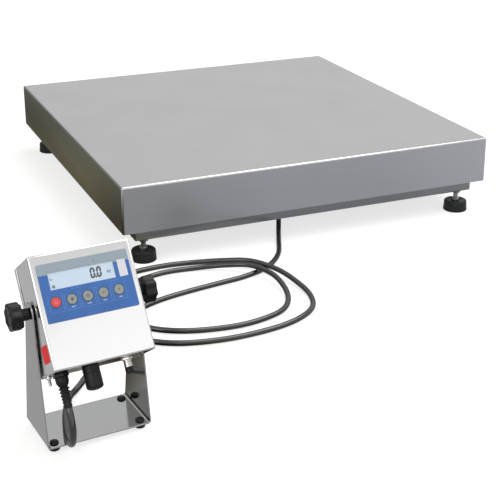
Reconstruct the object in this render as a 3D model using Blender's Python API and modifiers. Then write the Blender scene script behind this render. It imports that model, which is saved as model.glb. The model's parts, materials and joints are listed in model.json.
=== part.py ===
"""A bench platform scale: a stainless pan over a single-point load cell, and its indicator on a stand.

The origin is the centre of the weighing pan's top face. X runs to the right along the front,
Y runs to the back and Z runs up, so the floor lies below the origin. All sizes are in metres.
"""
import math

import bmesh
import bpy
from mathutils import Matrix, Vector

# Clearances
GAP = 0.0003
SLIDE_GAP = 0.0005
STOP_GAP = 0.001

# How far a welded or moulded-in piece sinks into what carries it
WELD = 0.0006

# Weighing pan, folded from sheet
PAN_LENGTH = 0.800
PAN_WIDTH = 0.800
PAN_SKIRT = 0.095
PAN_SHEET = 0.002
PAN_BEND = 0.004
RIB_WIDTH = 0.034
RIB_DEPTH = 0.014
RIB_FLANGE = 0.012
RIB_SHEET = 0.0015
RIB_SPACING = 0.150
RIB_END_MARGIN = 0.030

# Rubber pads between the pan and the upper frame
PAD_DIAMETER = 0.030
PAD_HEIGHT = 0.0045
PAD_INSET = 0.040
PAD_ROUND = 0.001

# Upper frame
UPPER_TUBE = 0.030
UPPER_WALL = 0.002
UPPER_BEAM_WIDTH = 0.060
UPPER_ARM_WIDTH = 0.030
UPPER_ARM_INSET = 0.100
UPPER_ARM_MARGIN = 0.020
UPPER_CORNER = 0.003

# Load cell, a block with a double bore
CELL_LENGTH = 0.150
CELL_WIDTH = 0.040
CELL_HEIGHT = 0.040
CELL_BORE = 0.022
CELL_BORE_SPACING = 0.034
CELL_SLOT = 0.008
CELL_CHAMFER = 0.0008
SPACER_LENGTH = 0.050
SPACER_HEIGHT = 0.005
BOLT_DIAMETER = 0.008
BOLT_HEAD_DIAMETER = 0.013
BOLT_HEAD_HEIGHT = 0.008
BOLT_SPACING = 0.025
BOLT_END_DISTANCE = 0.0125
BOLT_BITE = 0.014
BOLT_HOLE_SLACK = 0.0003
ACCESS_HOLE = 0.016

# Lower frame
FRAME_TUBE = 0.040
FRAME_WALL = 0.002
FRAME_CORNER = 0.003
FRAME_SIDE_INSET = 0.028
FRAME_END_INSET = 0.011
CROSS_WIDTH = 0.060
CROSS_HEIGHT = 0.028

# Levelling feet
FOOT_INSET = 0.049
FOOT_DISC_DIAMETER = 0.050
FOOT_DISC_HEIGHT = 0.022
FOOT_DISC_TAPER = 0.0012
FOOT_DISC_ROUND = 0.003
FOOT_DISC_CHAMFER = 0.0015
FOOT_SOCKET_DEPTH = 0.012
FOOT_COLLAR_DIAMETER = 0.016
FOOT_COLLAR_HEIGHT = 0.005
FOOT_EXTENSION = 0.0247
STUD_DIAMETER = 0.010
STUD_ABOVE_BUSH = 0.002
STUD_CHAMFER = 0.001
BUSH_DIAMETER = 0.018
BUSH_LENGTH = 0.020
BUSH_BELOW = 0.002
NUT_FLATS = 0.017
NUT_HEIGHT = 0.008
HEX_CHAMFER = 0.0008

# Overload stops and spirit level
STOP_INSET = 0.001
STOP_THREAD_BELOW = 0.010
STOP_HEAD_HEIGHT = 0.0065
LEVEL_DIAMETER = 0.022
LEVEL_HEIGHT = 0.011
LEVEL_FLANGE_DIAMETER = 0.030
LEVEL_FLANGE_HEIGHT = 0.004
LEVEL_RIM = 0.0008
LEVEL_CROWN = 0.0002
LEVEL_INSET = 0.110

# Cable gland under the platform, on a folded bracket
BRACKET_LENGTH = 0.034
BRACKET_DEPTH = 0.033
BRACKET_HEIGHT = 0.022
BRACKET_SHEET = 0.003
BRACKET_FOLD = 0.0036
PLATFORM_GLAND_X = -0.049
PLATFORM_GLAND_BACK = 0.0153
PLATFORM_GLAND_DROP = 0.024
GLAND_THREAD_DIAMETER = 0.016
GLAND_THREAD_ABOVE = 0.006
GLAND_FLATS = 0.020
GLAND_HEX_HEIGHT = 0.005
GLAND_DOME_HEIGHT = 0.013
GLAND_DOME_TIP = 0.0125
GLAND_DOME_INSET = 0.0008
GLAND_NECK = 0.001
GLAND_EDGE = 0.0005

# Cords
CABLE_DIAMETER = 0.010
LEAD_DIAMETER = 0.006
CABLE_SAG = 0.0020
LEAD_SAG = 0.0005
LONGEST_RUN = 0.060
GLAND_EXIT = 0.008

# Indicator stand, bent from one strip
STAND_X = -0.618
STAND_Y = -0.925
STAND_TURN = math.radians(5.0)
STAND_DEPTH = 0.096
STAND_SHEET = 0.002
STAND_BEND = 0.005
STAND_TOP_RADIUS = 0.016
STAND_FOOT_HEIGHT = 0.008
STAND_FOOT_DIAMETER = 0.016
STAND_FOOT_NECK = 0.007
STAND_FOOT_HEAD = 0.013
STAND_FOOT_HEAD_HEIGHT = 0.004
STAND_FOOT_CHAMFER = 0.001
STAND_FOOT_INSET = 0.013
AXIS_HEIGHT = 0.198
TILT = math.radians(33.6)

# Indicator housing, seen from its own front: X across, Z up its face, Y into it
HOUSING_WIDTH = 0.148
HOUSING_ABOVE = 0.071
HOUSING_BELOW = 0.089
HOUSING_FRONT = 0.041
HOUSING_SHELL_DEPTH = 0.066
HOUSING_SHEET = 0.0015
HOUSING_BEND = 0.0025
HOUSING_FLANGE = 0.009
GASKET_HEIGHT = 0.002
GASKET_INSET = 0.0008
COVER_DEPTH = 0.012

# Keypad and display on the housing's face
OVERLAY_WIDTH = 0.1315
OVERLAY_HEIGHT = 0.0815
OVERLAY_THICKNESS = 0.0014
OVERLAY_TOP_MARGIN = 0.0145
OVERLAY_CORNER = 0.002
WINDOW_WIDTH = 0.095
WINDOW_HEIGHT = 0.0235
WINDOW_THICKNESS = 0.0012
WINDOW_LEFT = 0.0135
WINDOW_TOP = 0.0135
WINDOW_LEDGE = 0.003
KEY_DIAMETER = 0.014
KEY_THICKNESS = 0.0012
KEY_PROUD = 0.0005
KEY_ROUND = 0.0004
KEY_FIRST = 0.0165
KEY_SPACING = 0.0228
KEY_BELOW_TOP = 0.0545
KEY_NAMES = ("key_power", "key_print", "key_units", "key_zero", "key_tare")

# Electronics
DISPLAY_WIDTH = 0.104
DISPLAY_HEIGHT = 0.030
BOARD_WIDTH = 0.120
BOARD_HEIGHT = 0.130
BOARD_THICKNESS = 0.0016
BOARD_CORNER = 0.002
STANDOFF_HEIGHT = 0.0115
STANDOFF_DIAMETER = 0.007
STANDOFF_INSET = 0.005

# Clamping knobs
KNOB_DIAMETER = 0.040
KNOB_THICKNESS = 0.018
KNOB_LOBES = 7
KNOB_LOBE_DEPTH = 0.0025
KNOB_ROUND = 0.003
KNOB_HUB_DIAMETER = 0.017
KNOB_HUB_HEIGHT = 0.011
KNOB_STUD_DIAMETER = 0.008
KNOB_SOCKET_DEPTH = 0.014
NUT_INSERT_DIAMETER = 0.016
NUT_INSERT_LENGTH = 0.009
WASHER_DIAMETER = 0.022
WASHER_THICKNESS = 0.0014

# Fittings under the housing: distance from its left side, and depth behind its face
GLAND_FROM_LEFT = 0.0195
GLAND_DEPTH = 0.040
GLAND_RELIEF_LENGTH = 0.030
GLAND_RELIEF_RIBS = 6
GLAND_RELIEF_TOP = 0.0155
GLAND_RELIEF_TIP = 0.0125
GLAND_RELIEF_CORE = 0.0055
PORT_FROM_LEFT = 0.059
PORT_DEPTH = 0.028
PORT_SOCKET_DIAMETER = 0.016
PORT_SOCKET_LENGTH = 0.013
PORT_CAP_DIAMETER = 0.024
PORT_CAP_LENGTH = 0.034
PORT_RIM = 0.003
PORT_MOUTH = 0.006
PLUG_FROM_LEFT = 0.1125
PLUG_DEPTH = 0.028
PLUG_NUT_FLATS = 0.014
PLUG_NUT_HEIGHT = 0.004
PLUG_DIAMETER = 0.012
PLUG_LENGTH = 0.016
PLUG_INSERT_DIAMETER = 0.009
PLUG_INSERT_PROUD = 0.003
PLUG_INSERT_ROUND = 0.0005
PLUG_RING = 0.0035
PLUG_STEP = 0.0006
PLUG_MOUTH = 0.008
EARTH_FROM_LEFT = 0.007
EARTH_DEPTH = 0.057
EARTH_DIAMETER = 0.004
EARTH_LENGTH = 0.013
EARTH_INSIDE = 0.003
EARTH_NUT_FLATS = 0.007
EARTH_NUT_HEIGHT = 0.004

ROUND_SIDES = 20
SMALL_SIDES = 12

# Heights of the platform's stack, worked out from its top face down
PAN_UNDERSIDE = -PAN_SHEET
UPPER_TOP = PAN_UNDERSIDE - PAD_HEIGHT - 2 * GAP
UPPER_BOTTOM = UPPER_TOP - UPPER_TUBE
CELL_TOP = UPPER_BOTTOM - SPACER_HEIGHT - 2 * GAP
CELL_BOTTOM = CELL_TOP - CELL_HEIGHT
CROSS_TOP = CELL_BOTTOM - SPACER_HEIGHT - 2 * GAP
FRAME_BOTTOM = CROSS_TOP - CROSS_HEIGHT
FRAME_TOP = FRAME_BOTTOM + FRAME_TUBE
DISC_TOP = FRAME_BOTTOM - FOOT_EXTENSION
FLOOR = DISC_TOP - FOOT_DISC_HEIGHT

FRAME_HALF_X = PAN_LENGTH / 2 - FRAME_SIDE_INSET
FRAME_HALF_Y = PAN_WIDTH / 2 - FRAME_END_INSET
FOOT_X = PAN_LENGTH / 2 - FOOT_INSET
FOOT_Y = FRAME_HALF_Y - FRAME_TUBE / 2
FRONT_TUBE_BACK = -FRAME_HALF_Y + FRAME_TUBE
ARM_HALF = PAN_LENGTH / 2 - UPPER_ARM_MARGIN
ARM_Y = PAN_WIDTH / 2 - UPPER_ARM_INSET
PLATFORM_GLAND_Y = FRONT_TUBE_BACK + PLATFORM_GLAND_BACK
PLATFORM_GLAND_TOP = FRAME_TOP - PLATFORM_GLAND_DROP
PLATFORM_GLAND_SEAT = PLATFORM_GLAND_TOP - BRACKET_SHEET - GAP
PLATFORM_GLAND_TIP = PLATFORM_GLAND_SEAT - GLAND_HEX_HEIGHT - GLAND_DOME_HEIGHT

# Places on the housing, worked out in its own frame, whose origin is the tilting axis
HOUSING_BACK = -HOUSING_FRONT + HOUSING_SHELL_DEPTH
HOUSING_MIDDLE = (HOUSING_ABOVE - HOUSING_BELOW) / 2
COVER_FRONT = HOUSING_BACK + GASKET_HEIGHT + 2 * GAP
COVER_BACK = COVER_FRONT + COVER_DEPTH
STAND_WIDTH = HOUSING_WIDTH + 2 * (WASHER_THICKNESS + 2 * GAP + STAND_SHEET)
OVERLAY_TOP = HOUSING_ABOVE - OVERLAY_TOP_MARGIN
OVERLAY_BACK = -HOUSING_FRONT - GAP
OVERLAY_MIDDLE = OVERLAY_TOP - OVERLAY_HEIGHT / 2
WINDOW_X = -OVERLAY_WIDTH / 2 + WINDOW_LEFT + WINDOW_WIDTH / 2
WINDOW_Z = OVERLAY_TOP - WINDOW_TOP - WINDOW_HEIGHT / 2
KEY_Z = OVERLAY_TOP - KEY_BELOW_TOP
FITTING_TOP = -HOUSING_BELOW - GAP
RELIEF_TOP = FITTING_TOP - GLAND_HEX_HEIGHT - GLAND_DOME_HEIGHT - GAP
RELIEF_TIP = RELIEF_TOP - GLAND_RELIEF_LENGTH
BOARD_FRONT = -HOUSING_FRONT + HOUSING_SHEET + STANDOFF_HEIGHT + 2 * GAP
INNER_HALF = HOUSING_WIDTH / 2 - HOUSING_SHEET

# The cable's route along the floor, between the platform's gland and the indicator's stand
CABLE_ROUTE = (
    (-0.0500, -0.3362, -0.1385),
    (-0.0535, -0.3440, -0.1485),
    (-0.0605, -0.3590, -0.1555),
    (-0.0740, -0.3900, -0.1577),
    (-0.1070, -0.4600, -0.1577),
    (-0.1520, -0.5080, -0.1577),
    (-0.2060, -0.5320, -0.1577),
    (-0.2620, -0.5420, -0.1577),
    (-0.3300, -0.5540, -0.1577),
    (-0.3880, -0.5690, -0.1577),
    (-0.4300, -0.5900, -0.1577),
    (-0.4500, -0.6240, -0.1577),
    (-0.4430, -0.6600, -0.1577),
    (-0.4130, -0.6880, -0.1577),
    (-0.3650, -0.7080, -0.1577),
    (-0.3010, -0.7170, -0.1577),
    (-0.2470, -0.7100, -0.1577),
    (-0.2020, -0.6900, -0.1577),
    (-0.1750, -0.6550, -0.1570),
    (-0.1630, -0.6100, -0.1530),
    (-0.1660, -0.5600, -0.1472),
    (-0.1880, -0.5100, -0.1472),
    (-0.2300, -0.4780, -0.1530),
    (-0.2820, -0.4600, -0.1575),
    (-0.3400, -0.4570, -0.1577),
    (-0.3980, -0.4750, -0.1577),
    (-0.4500, -0.5150, -0.1577),
    (-0.4800, -0.5750, -0.1577),
    (-0.4860, -0.6400, -0.1577),
    (-0.4650, -0.7000, -0.1577),
    (-0.4150, -0.7380, -0.1577),
    (-0.3410, -0.7550, -0.1577),
    (-0.2640, -0.7530, -0.1577),
    (-0.2000, -0.7370, -0.1577),
    (-0.1520, -0.7040, -0.1577),
    (-0.1310, -0.6550, -0.1577),
    (-0.1310, -0.6000, -0.1550),
    (-0.1470, -0.5450, -0.1485),
    (-0.1780, -0.4920, -0.1472),
    (-0.2220, -0.4570, -0.1530),
    (-0.2750, -0.4340, -0.1575),
    (-0.3300, -0.4270, -0.1577),
    (-0.3950, -0.4340, -0.1577),
    (-0.4600, -0.4600, -0.1577),
    (-0.5120, -0.5070, -0.1577),
    (-0.5400, -0.5700, -0.1577),
    (-0.5480, -0.6400, -0.1577),
    (-0.5530, -0.7100, -0.1577),
    (-0.5700, -0.7650, -0.1577),
    (-0.5930, -0.8020, -0.1572),
    (-0.6130, -0.8320, -0.1540),
    (-0.6270, -0.8560, -0.1478),
    (-0.6370, -0.8770, -0.1468),
    (-0.6490, -0.9130, -0.1470),
    (-0.6570, -0.9470, -0.1475),
)
# Its last stretch, which rises to the indicator's gland and follows the housing
TAIL_ROUTE = (
    (-0.6605, -0.9700, -0.1475),
    (-0.6625, -0.9930, -0.1430),
    (-0.6638, -1.0110, -0.1290),
    (-0.6643, -1.0180, -0.1080),
)

# The load cell's own lead, along the cross member and down into the platform's gland
LEAD_ROUTE = (
    (-0.0204, -0.0560, -0.0700),
    (-0.0300, -0.0562, -0.0702),
    (-0.0370, -0.0600, -0.0735),
    (-0.0385, -0.0690, -0.0790),
    (-0.0350, -0.0800, -0.0832),
    (-0.0280, -0.0980, -0.0850),
    (-0.0262, -0.1200, -0.0850),
    (-0.0262, -0.1700, -0.0850),
    (-0.0262, -0.2500, -0.0850),
    (-0.0280, -0.2900, -0.0835),
    (-0.0350, -0.3150, -0.0775),
    (-0.0440, -0.3290, -0.0755),
    (-0.0485, -0.3335, -0.0815),
    (-0.0490, -0.3337, -0.0940),
)


def clear_scene():
    for ob in list(bpy.data.objects):
        bpy.data.objects.remove(ob, do_unlink=True)
    for group in list(bpy.data.collections):
        bpy.data.collections.remove(group)


def collection(name):
    group = bpy.data.collections.new(name)
    bpy.context.scene.collection.children.link(group)
    return group


def material(name, colour, roughness, metallic=0.0):
    made = bpy.data.materials.new(name)
    made.use_nodes = True
    shader = made.node_tree.nodes["Principled BSDF"]
    shader.inputs["Base Color"].default_value = (*colour, 1.0)
    shader.inputs["Roughness"].default_value = roughness
    shader.inputs["Metallic"].default_value = metallic
    return made


class Builder:
    """Puts objects in the scene with their parent, their place and their own material."""

    def __init__(self):
        self.parts = collection("platform_scale")
        self.cutters = collection("cutters")
        self.anchors = {}

    def anchor(self, name, parent=None, location=(0, 0, 0), rotation=(0, 0, 0)):
        empty = bpy.data.objects.new(name, None)
        self.parts.objects.link(empty)
        empty.parent = self.anchors.get(parent)
        empty.location = location
        empty.rotation_euler = rotation
        self.anchors[name] = empty
        return empty

    def part(self, name, data, finish, parent=None, location=(0, 0, 0), rotation=(0, 0, 0)):
        ob = bpy.data.objects.new(name, data)
        self.parts.objects.link(ob)
        ob.parent = self.anchors.get(parent)
        ob.location = location
        ob.rotation_euler = rotation
        data.materials.append(material(name, *finish))
        return ob

    def cutter(self, name, data, parent=None, location=(0, 0, 0), rotation=(0, 0, 0)):
        ob = bpy.data.objects.new(name, data)
        self.cutters.objects.link(ob)
        ob.parent = self.anchors.get(parent)
        ob.location = location
        ob.rotation_euler = rotation
        ob.hide_render = True
        ob.display_type = "WIRE"
        return ob


STEEL = ((0.62, 0.62, 0.61), 0.35, 1.0)
SATIN_STEEL = ((0.52, 0.52, 0.53), 0.45, 1.0)
ZINC = ((0.55, 0.56, 0.58), 0.35, 1.0)
ALUMINIUM = ((0.78, 0.79, 0.80), 0.40, 1.0)
NICKEL = ((0.66, 0.63, 0.55), 0.25, 1.0)
BLACK_RUBBER = ((0.015, 0.017, 0.017), 0.60)
BLACK_PLASTIC = ((0.018, 0.018, 0.019), 0.42)
CABLE_BLACK = ((0.022, 0.020, 0.020), 0.38)
OVERLAY_BLUE = ((0.045, 0.155, 0.470), 0.35)
WINDOW_CLEAR = ((0.66, 0.74, 0.82), 0.12)
KEY_GREY = ((0.42, 0.45, 0.46), 0.40)
KEY_RED = ((0.66, 0.075, 0.090), 0.40)
BOARD_GREEN = ((0.02, 0.14, 0.06), 0.50)
LEVEL_GREEN = ((0.55, 0.75, 0.25), 0.10)


def finish_mesh(bm, name, smooth_angle=math.radians(35)):
    """Turns a bmesh into a mesh with outward faces, smooth but for its sharp edges."""
    bmesh.ops.recalc_face_normals(bm, faces=bm.faces)
    mesh = bpy.data.meshes.new(name)
    bm.to_mesh(mesh)
    bm.free()
    mesh.shade_smooth()
    mesh.set_sharp_from_angle(angle=smooth_angle)
    return mesh


def box(size, centre=(0, 0, 0)):
    bm = bmesh.new()
    bmesh.ops.create_cube(bm, size=1.0)
    bmesh.ops.scale(bm, vec=size, verts=bm.verts)
    bmesh.ops.translate(bm, vec=centre, verts=bm.verts)
    return bm


def bevel_edges(bm, edges, width, segments=2):
    bmesh.ops.bevel(
        bm, geom=edges, offset=width, segments=segments, profile=0.5, affect="EDGES", material=-1
    )


def edges_along(bm, axis):
    """The edges that run along one axis, 0 for X, 1 for Y and 2 for Z."""
    found = []
    for edge in bm.edges:
        run = edge.verts[1].co - edge.verts[0].co
        if run.length > 0 and abs(run[axis]) > 0.99 * run.length:
            found.append(edge)
    return found


def rounded_box(name, size, radius, axis, segments=2, centre=(0, 0, 0)):
    """A block whose long edges along one axis are rounded."""
    bm = box(size, centre)
    bevel_edges(bm, edges_along(bm, axis), radius, segments)
    return finish_mesh(bm, name)


def cylinder(name, diameter, length, sides=ROUND_SIDES, axis="Z", centre=(0, 0, 0)):
    bm = bmesh.new()
    bmesh.ops.create_cone(
        bm, cap_ends=True, segments=sides, radius1=diameter / 2, radius2=diameter / 2, depth=length
    )
    if axis == "X":
        bmesh.ops.rotate(bm, matrix=Matrix.Rotation(math.pi / 2, 3, "Y"), verts=bm.verts)
    if axis == "Y":
        bmesh.ops.rotate(bm, matrix=Matrix.Rotation(math.pi / 2, 3, "X"), verts=bm.verts)
    bmesh.ops.translate(bm, vec=centre, verts=bm.verts)
    return finish_mesh(bm, name)


def profile_mesh(name, points, closed):
    """A turned shape's half outline: radius along X, height along Z, running down its outer side."""
    mesh = bpy.data.meshes.new(name)
    edges = [(i, i + 1) for i in range(len(points) - 1)]
    if closed:
        edges.append((len(points) - 1, 0))
    mesh.from_pydata([(radius, 0.0, height) for radius, height in points], edges, [])
    return mesh


def add_screw(ob, sides=ROUND_SIDES):
    screw = ob.modifiers.new("turned", "SCREW")
    screw.steps = sides
    screw.render_steps = sides
    screw.use_merge_vertices = True
    screw.merge_threshold = 0.00001
    screw.use_smooth_shade = True
    return ob


def add_shell(ob, thickness):
    shell = ob.modifiers.new("sheet", "SOLIDIFY")
    shell.thickness = thickness
    shell.offset = -1.0
    shell.use_even_offset = True
    return ob


def cut(ob, cutter, operation="DIFFERENCE"):
    boolean = ob.modifiers.new(cutter.name, "BOOLEAN")
    boolean.operation = operation
    boolean.solver = "EXACT"
    boolean.object = cutter
    return ob


def join_meshes(name, meshes):
    """One mesh that holds several separate solids, such as a set of like fasteners."""
    bm = bmesh.new()
    for mesh in meshes:
        bm.from_mesh(mesh)
        bpy.data.meshes.remove(mesh)
    made = bpy.data.meshes.new(name)
    bm.to_mesh(made)
    bm.free()
    return made


def moved(mesh, place, turn=None):
    """The same mesh turned and then moved."""
    if turn is not None:
        mesh.transform(turn)
    mesh.transform(Matrix.Translation(place))
    return mesh


def turned_mesh(name, points, sides=ROUND_SIDES):
    """A turned solid as a mesh, for a set that repeats it or for a body that a Boolean adds to."""
    bm = bmesh.new()
    verts = [bm.verts.new((radius, 0.0, height)) for radius, height in points]
    for pair in zip(verts, verts[1:]):
        bm.edges.new(pair)
    bmesh.ops.spin(
        bm, geom=bm.verts[:] + bm.edges[:], angle=math.tau, steps=sides, use_merge=True,
        axis=(0, 0, 1), cent=(0, 0, 0),
    )
    bmesh.ops.remove_doubles(bm, verts=bm.verts, dist=0.00001)
    return finish_mesh(bm, name)


def ring_points(outer, inner, top, bottom):
    """A plain ring's closed half outline."""
    return ((outer / 2, top), (outer / 2, bottom), (inner / 2, bottom), (inner / 2, top))


def hex_mesh(name, flats, height, top=0.0):
    """A hexagon nut or head that hangs below its top."""
    corner = flats / 2 / math.cos(math.pi / 6)
    bm = bmesh.new()
    bmesh.ops.create_cone(
        bm, cap_ends=True, segments=6, radius1=corner, radius2=corner, depth=height
    )
    bmesh.ops.translate(bm, vec=(0, 0, top - height / 2), verts=bm.verts)
    rims = [edge for edge in bm.edges if abs(edge.verts[0].co.z - edge.verts[1].co.z) < height / 2]
    bevel_edges(bm, rims, HEX_CHAMFER, 1)
    return finish_mesh(bm, name)


def swept_strip(name, points, run, fold=0.0, downward=True):
    """An open chain of points swept into a strip whose lowest face looks down, or up, with round folds."""
    bm = bmesh.new()
    verts = [bm.verts.new(place) for place in points]
    edges = [bm.edges.new(pair) for pair in zip(verts, verts[1:])]
    swept = bmesh.ops.extrude_edge_only(bm, edges=edges)
    ends = [item for item in swept["geom"] if isinstance(item, bmesh.types.BMVert)]
    bmesh.ops.translate(bm, vec=run, verts=ends)
    bm.normal_update()
    lowest = min(bm.faces, key=lambda face: face.calc_center_median().z)
    if (lowest.normal.z > 0) == downward:
        bmesh.ops.reverse_faces(bm, faces=bm.faces)
    if fold:
        bevel_edges(bm, [edge for edge in bm.edges if len(edge.link_faces) == 2], fold, 3)
    mesh = bpy.data.meshes.new(name)
    bm.to_mesh(mesh)
    bm.free()
    return mesh


def smooth_path(route, sag):
    """A smooth curve through the route's points, as straight runs that stray from it by the sag at most."""
    points = [Vector(place) for place in route]
    points = [points[0] * 2 - points[1]] + points + [points[-1] * 2 - points[-2]]
    steps = 12
    fine = []
    for before, start, end, after in zip(points, points[1:], points[2:], points[3:]):
        for k in range(steps):
            t = k / steps
            line = 2 * start + (end - before) * t
            curve = (2 * before - 5 * start + 4 * end - after) * t * t
            twist = (3 * start - before - 3 * end + after) * t * t * t
            fine.append((line + curve + twist) / 2)
    fine.append(points[-2])
    last = len(fine) - 1
    path = [fine[0], fine[steps]]
    begin = steps
    for k in range(begin + 2, last - steps + 1):
        run = fine[k] - fine[begin]
        strays = max(off_line(fine[j], fine[begin], run) for j in range(begin + 1, k))
        if run.length > LONGEST_RUN or strays > sag:
            path.append(fine[k - 1])
            begin = k - 1
    return path + [fine[last - steps], fine[last]]


def off_line(place, start, run):
    """How far a place lies from the line that starts at a point and follows a run."""
    across = place - start
    return (across - run * (across.dot(run) / run.length_squared)).length


def cord_curve(name, path, diameter, resolution):
    curve = bpy.data.curves.new(name, "CURVE")
    curve.dimensions = "3D"
    curve.bevel_depth = diameter / 2
    curve.bevel_resolution = resolution
    curve.use_fill_caps = True
    spline = curve.splines.new("POLY")
    spline.points.add(len(path) - 1)
    for point, place in zip(spline.points, path):
        point.co = (*place, 1.0)
    return curve


def square_tube(name, size, radius, axis, capped):
    """A rectangular tube; a capped one is closed at its ends, and its bored holes open it."""
    bm = box(size)
    bevel_edges(bm, edges_along(bm, axis), radius, 1)
    if not capped:
        ends = [face for face in bm.faces if abs(face.normal[axis]) > 0.99]
        bmesh.ops.delete(bm, geom=ends, context="FACES_ONLY")
    return finish_mesh(bm, name)


def four_corners(x, y):
    """Front left, front right, back left and back right."""
    return {"fl": (-x, -y), "fr": (x, -y), "bl": (-x, y), "br": (x, y)}


def make_weighing_pan(build):
    """The pan is folded from one sheet, with hat-section ribs welded under its top."""
    bm = box((PAN_LENGTH, PAN_WIDTH, PAN_SKIRT), (0, 0, -PAN_SKIRT / 2))
    lowest = min(bm.faces, key=lambda face: face.calc_center_median().z)
    bmesh.ops.delete(bm, geom=[lowest], context="FACES_ONLY")
    folded = [edge for edge in bm.edges if len(edge.link_faces) == 2]
    bevel_edges(bm, folded, PAN_BEND, 3)
    pan = build.part("weighing_pan", finish_mesh(bm, "weighing_pan"), SATIN_STEEL)
    add_shell(pan, PAN_SHEET)
    ribs = build.cutter("pan_ribs", join_meshes("pan_ribs", pan_ribs()))
    add_shell(ribs, RIB_SHEET)
    cut(pan, ribs, "UNION")


def pan_ribs():
    """Open hat profiles that run along Y between the arms of the upper frame."""
    half = ARM_Y - UPPER_ARM_WIDTH / 2 - RIB_END_MARGIN
    top = PAN_UNDERSIDE + WELD
    low = PAN_UNDERSIDE - RIB_DEPTH
    side = RIB_WIDTH / 2
    flange = side + RIB_FLANGE
    outline = ((-flange, top), (-side, top), (-side, low), (side, low), (side, top), (flange, top))
    ribs = []
    for column in (-2, -1, 1, 2):
        points = [(x + column * RIB_SPACING, -half, z) for x, z in outline]
        ribs.append(swept_strip("rib", points, (0, 2 * half, 0), downward=False))
    return ribs


def make_support_pads(build):
    top = PAN_UNDERSIDE - GAP
    bottom = UPPER_TOP + GAP
    radius = PAD_DIAMETER / 2
    outline = (
        (0.0, top), (radius - PAD_ROUND, top), (radius, top - PAD_ROUND), (radius, bottom),
        (0.0, bottom),
    )
    for corner, (x, y) in four_corners(ARM_HALF - PAD_INSET, ARM_Y).items():
        name = f"pan_pad_{corner}"
        place = (x, y, 0)
        pad = build.part(name, profile_mesh(name, outline, False), BLACK_RUBBER, location=place)
        add_screw(pad)


def bolt_places(end):
    """The two bolts at one end of the load cell, -1 for the front end and 1 for the back end."""
    outer = CELL_LENGTH / 2 - BOLT_END_DISTANCE
    return [(0, end * outer), (0, end * (outer - BOLT_SPACING))]


def make_upper_frame(build):
    length = 2 * ARM_Y - UPPER_ARM_WIDTH - 2 * GAP
    size = (UPPER_BEAM_WIDTH, length, UPPER_TUBE)
    middle = (UPPER_TOP + UPPER_BOTTOM) / 2
    beam = build.part(
        "upper_frame_beam", square_tube("upper_frame_beam", size, UPPER_CORNER, 1, False),
        SATIN_STEEL, location=(0, 0, middle),
    )
    add_shell(beam, UPPER_WALL)
    access = []
    holes = []
    for x, y in bolt_places(1):
        access.append(cylinder("a", ACCESS_HOLE, UPPER_TUBE, centre=(x, y, UPPER_TOP)))
        bore = BOLT_DIAMETER + 2 * BOLT_HOLE_SLACK
        holes.append(cylinder("h", bore, UPPER_TUBE, SMALL_SIDES, centre=(x, y, UPPER_BOTTOM)))
    cut(beam, build.cutter("upper_access_holes", join_meshes("upper_access_holes", access)))
    cut(beam, build.cutter("upper_bolt_holes", join_meshes("upper_bolt_holes", holes)))
    for name, side in (("upper_frame_arm_front", -1), ("upper_frame_arm_back", 1)):
        size = (2 * ARM_HALF, UPPER_ARM_WIDTH, UPPER_TUBE)
        arm = build.part(
            name, square_tube(name, size, UPPER_CORNER, 0, False), SATIN_STEEL,
            location=(0, side * ARM_Y, middle),
        )
        add_shell(arm, UPPER_WALL)


def make_load_cell(build):
    """The block with its double bore and slot, and the bolts that stay in its threads."""
    centre = (CELL_TOP + CELL_BOTTOM) / 2
    bm = box((CELL_WIDTH, CELL_LENGTH, CELL_HEIGHT))
    bevel_edges(bm, bm.edges[:], CELL_CHAMFER, 1)
    cell = build.part("load_cell", finish_mesh(bm, "load_cell"), ALUMINIUM, location=(0, 0, centre))
    long_cut = 2 * CELL_WIDTH
    for name, side in (("front", -1), ("back", 1)):
        place = (0, side * CELL_BORE_SPACING / 2, centre)
        bore = cylinder("bore", CELL_BORE, long_cut, ROUND_SIDES, "X", place)
        cut(cell, build.cutter(f"cell_bore_{name}", bore))
    slot = finish_mesh(box((long_cut, CELL_BORE_SPACING, CELL_SLOT), (0, 0, centre)), "slot")
    cut(cell, build.cutter("cell_slot", slot))
    bolts = build.cutter("load_cell_bolts", join_meshes("load_cell_bolts", load_cell_bolts()))
    cut(cell, bolts, "UNION")


def load_cell_bolts():
    """Cap screws whose heads sit inside the tubes, the front pair pointing up and the back pair down."""
    radius = BOLT_DIAMETER / 2
    head = BOLT_HEAD_DIAMETER / 2
    shank = GAP + SPACER_HEIGHT + 2 * GAP + BOLT_BITE
    bolts = []
    for end, seat, wall in ((-1, CROSS_TOP, FRAME_WALL), (1, UPPER_BOTTOM, UPPER_WALL)):
        outline = (
            (0.0, wall + shank), (radius, wall + shank), (radius, -GAP), (head, -GAP),
            (head, -GAP - BOLT_HEAD_HEIGHT), (0.0, -GAP - BOLT_HEAD_HEIGHT),
        )
        for x, y in bolt_places(end):
            bolt = turned_mesh("bolt", outline, SMALL_SIDES)
            over = Matrix.Rotation(math.pi, 4, "X") if end == 1 else None
            level = seat - wall if end == -1 else seat + wall
            bolts.append(moved(bolt, (x, y, level), over))
    return bolts


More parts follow.
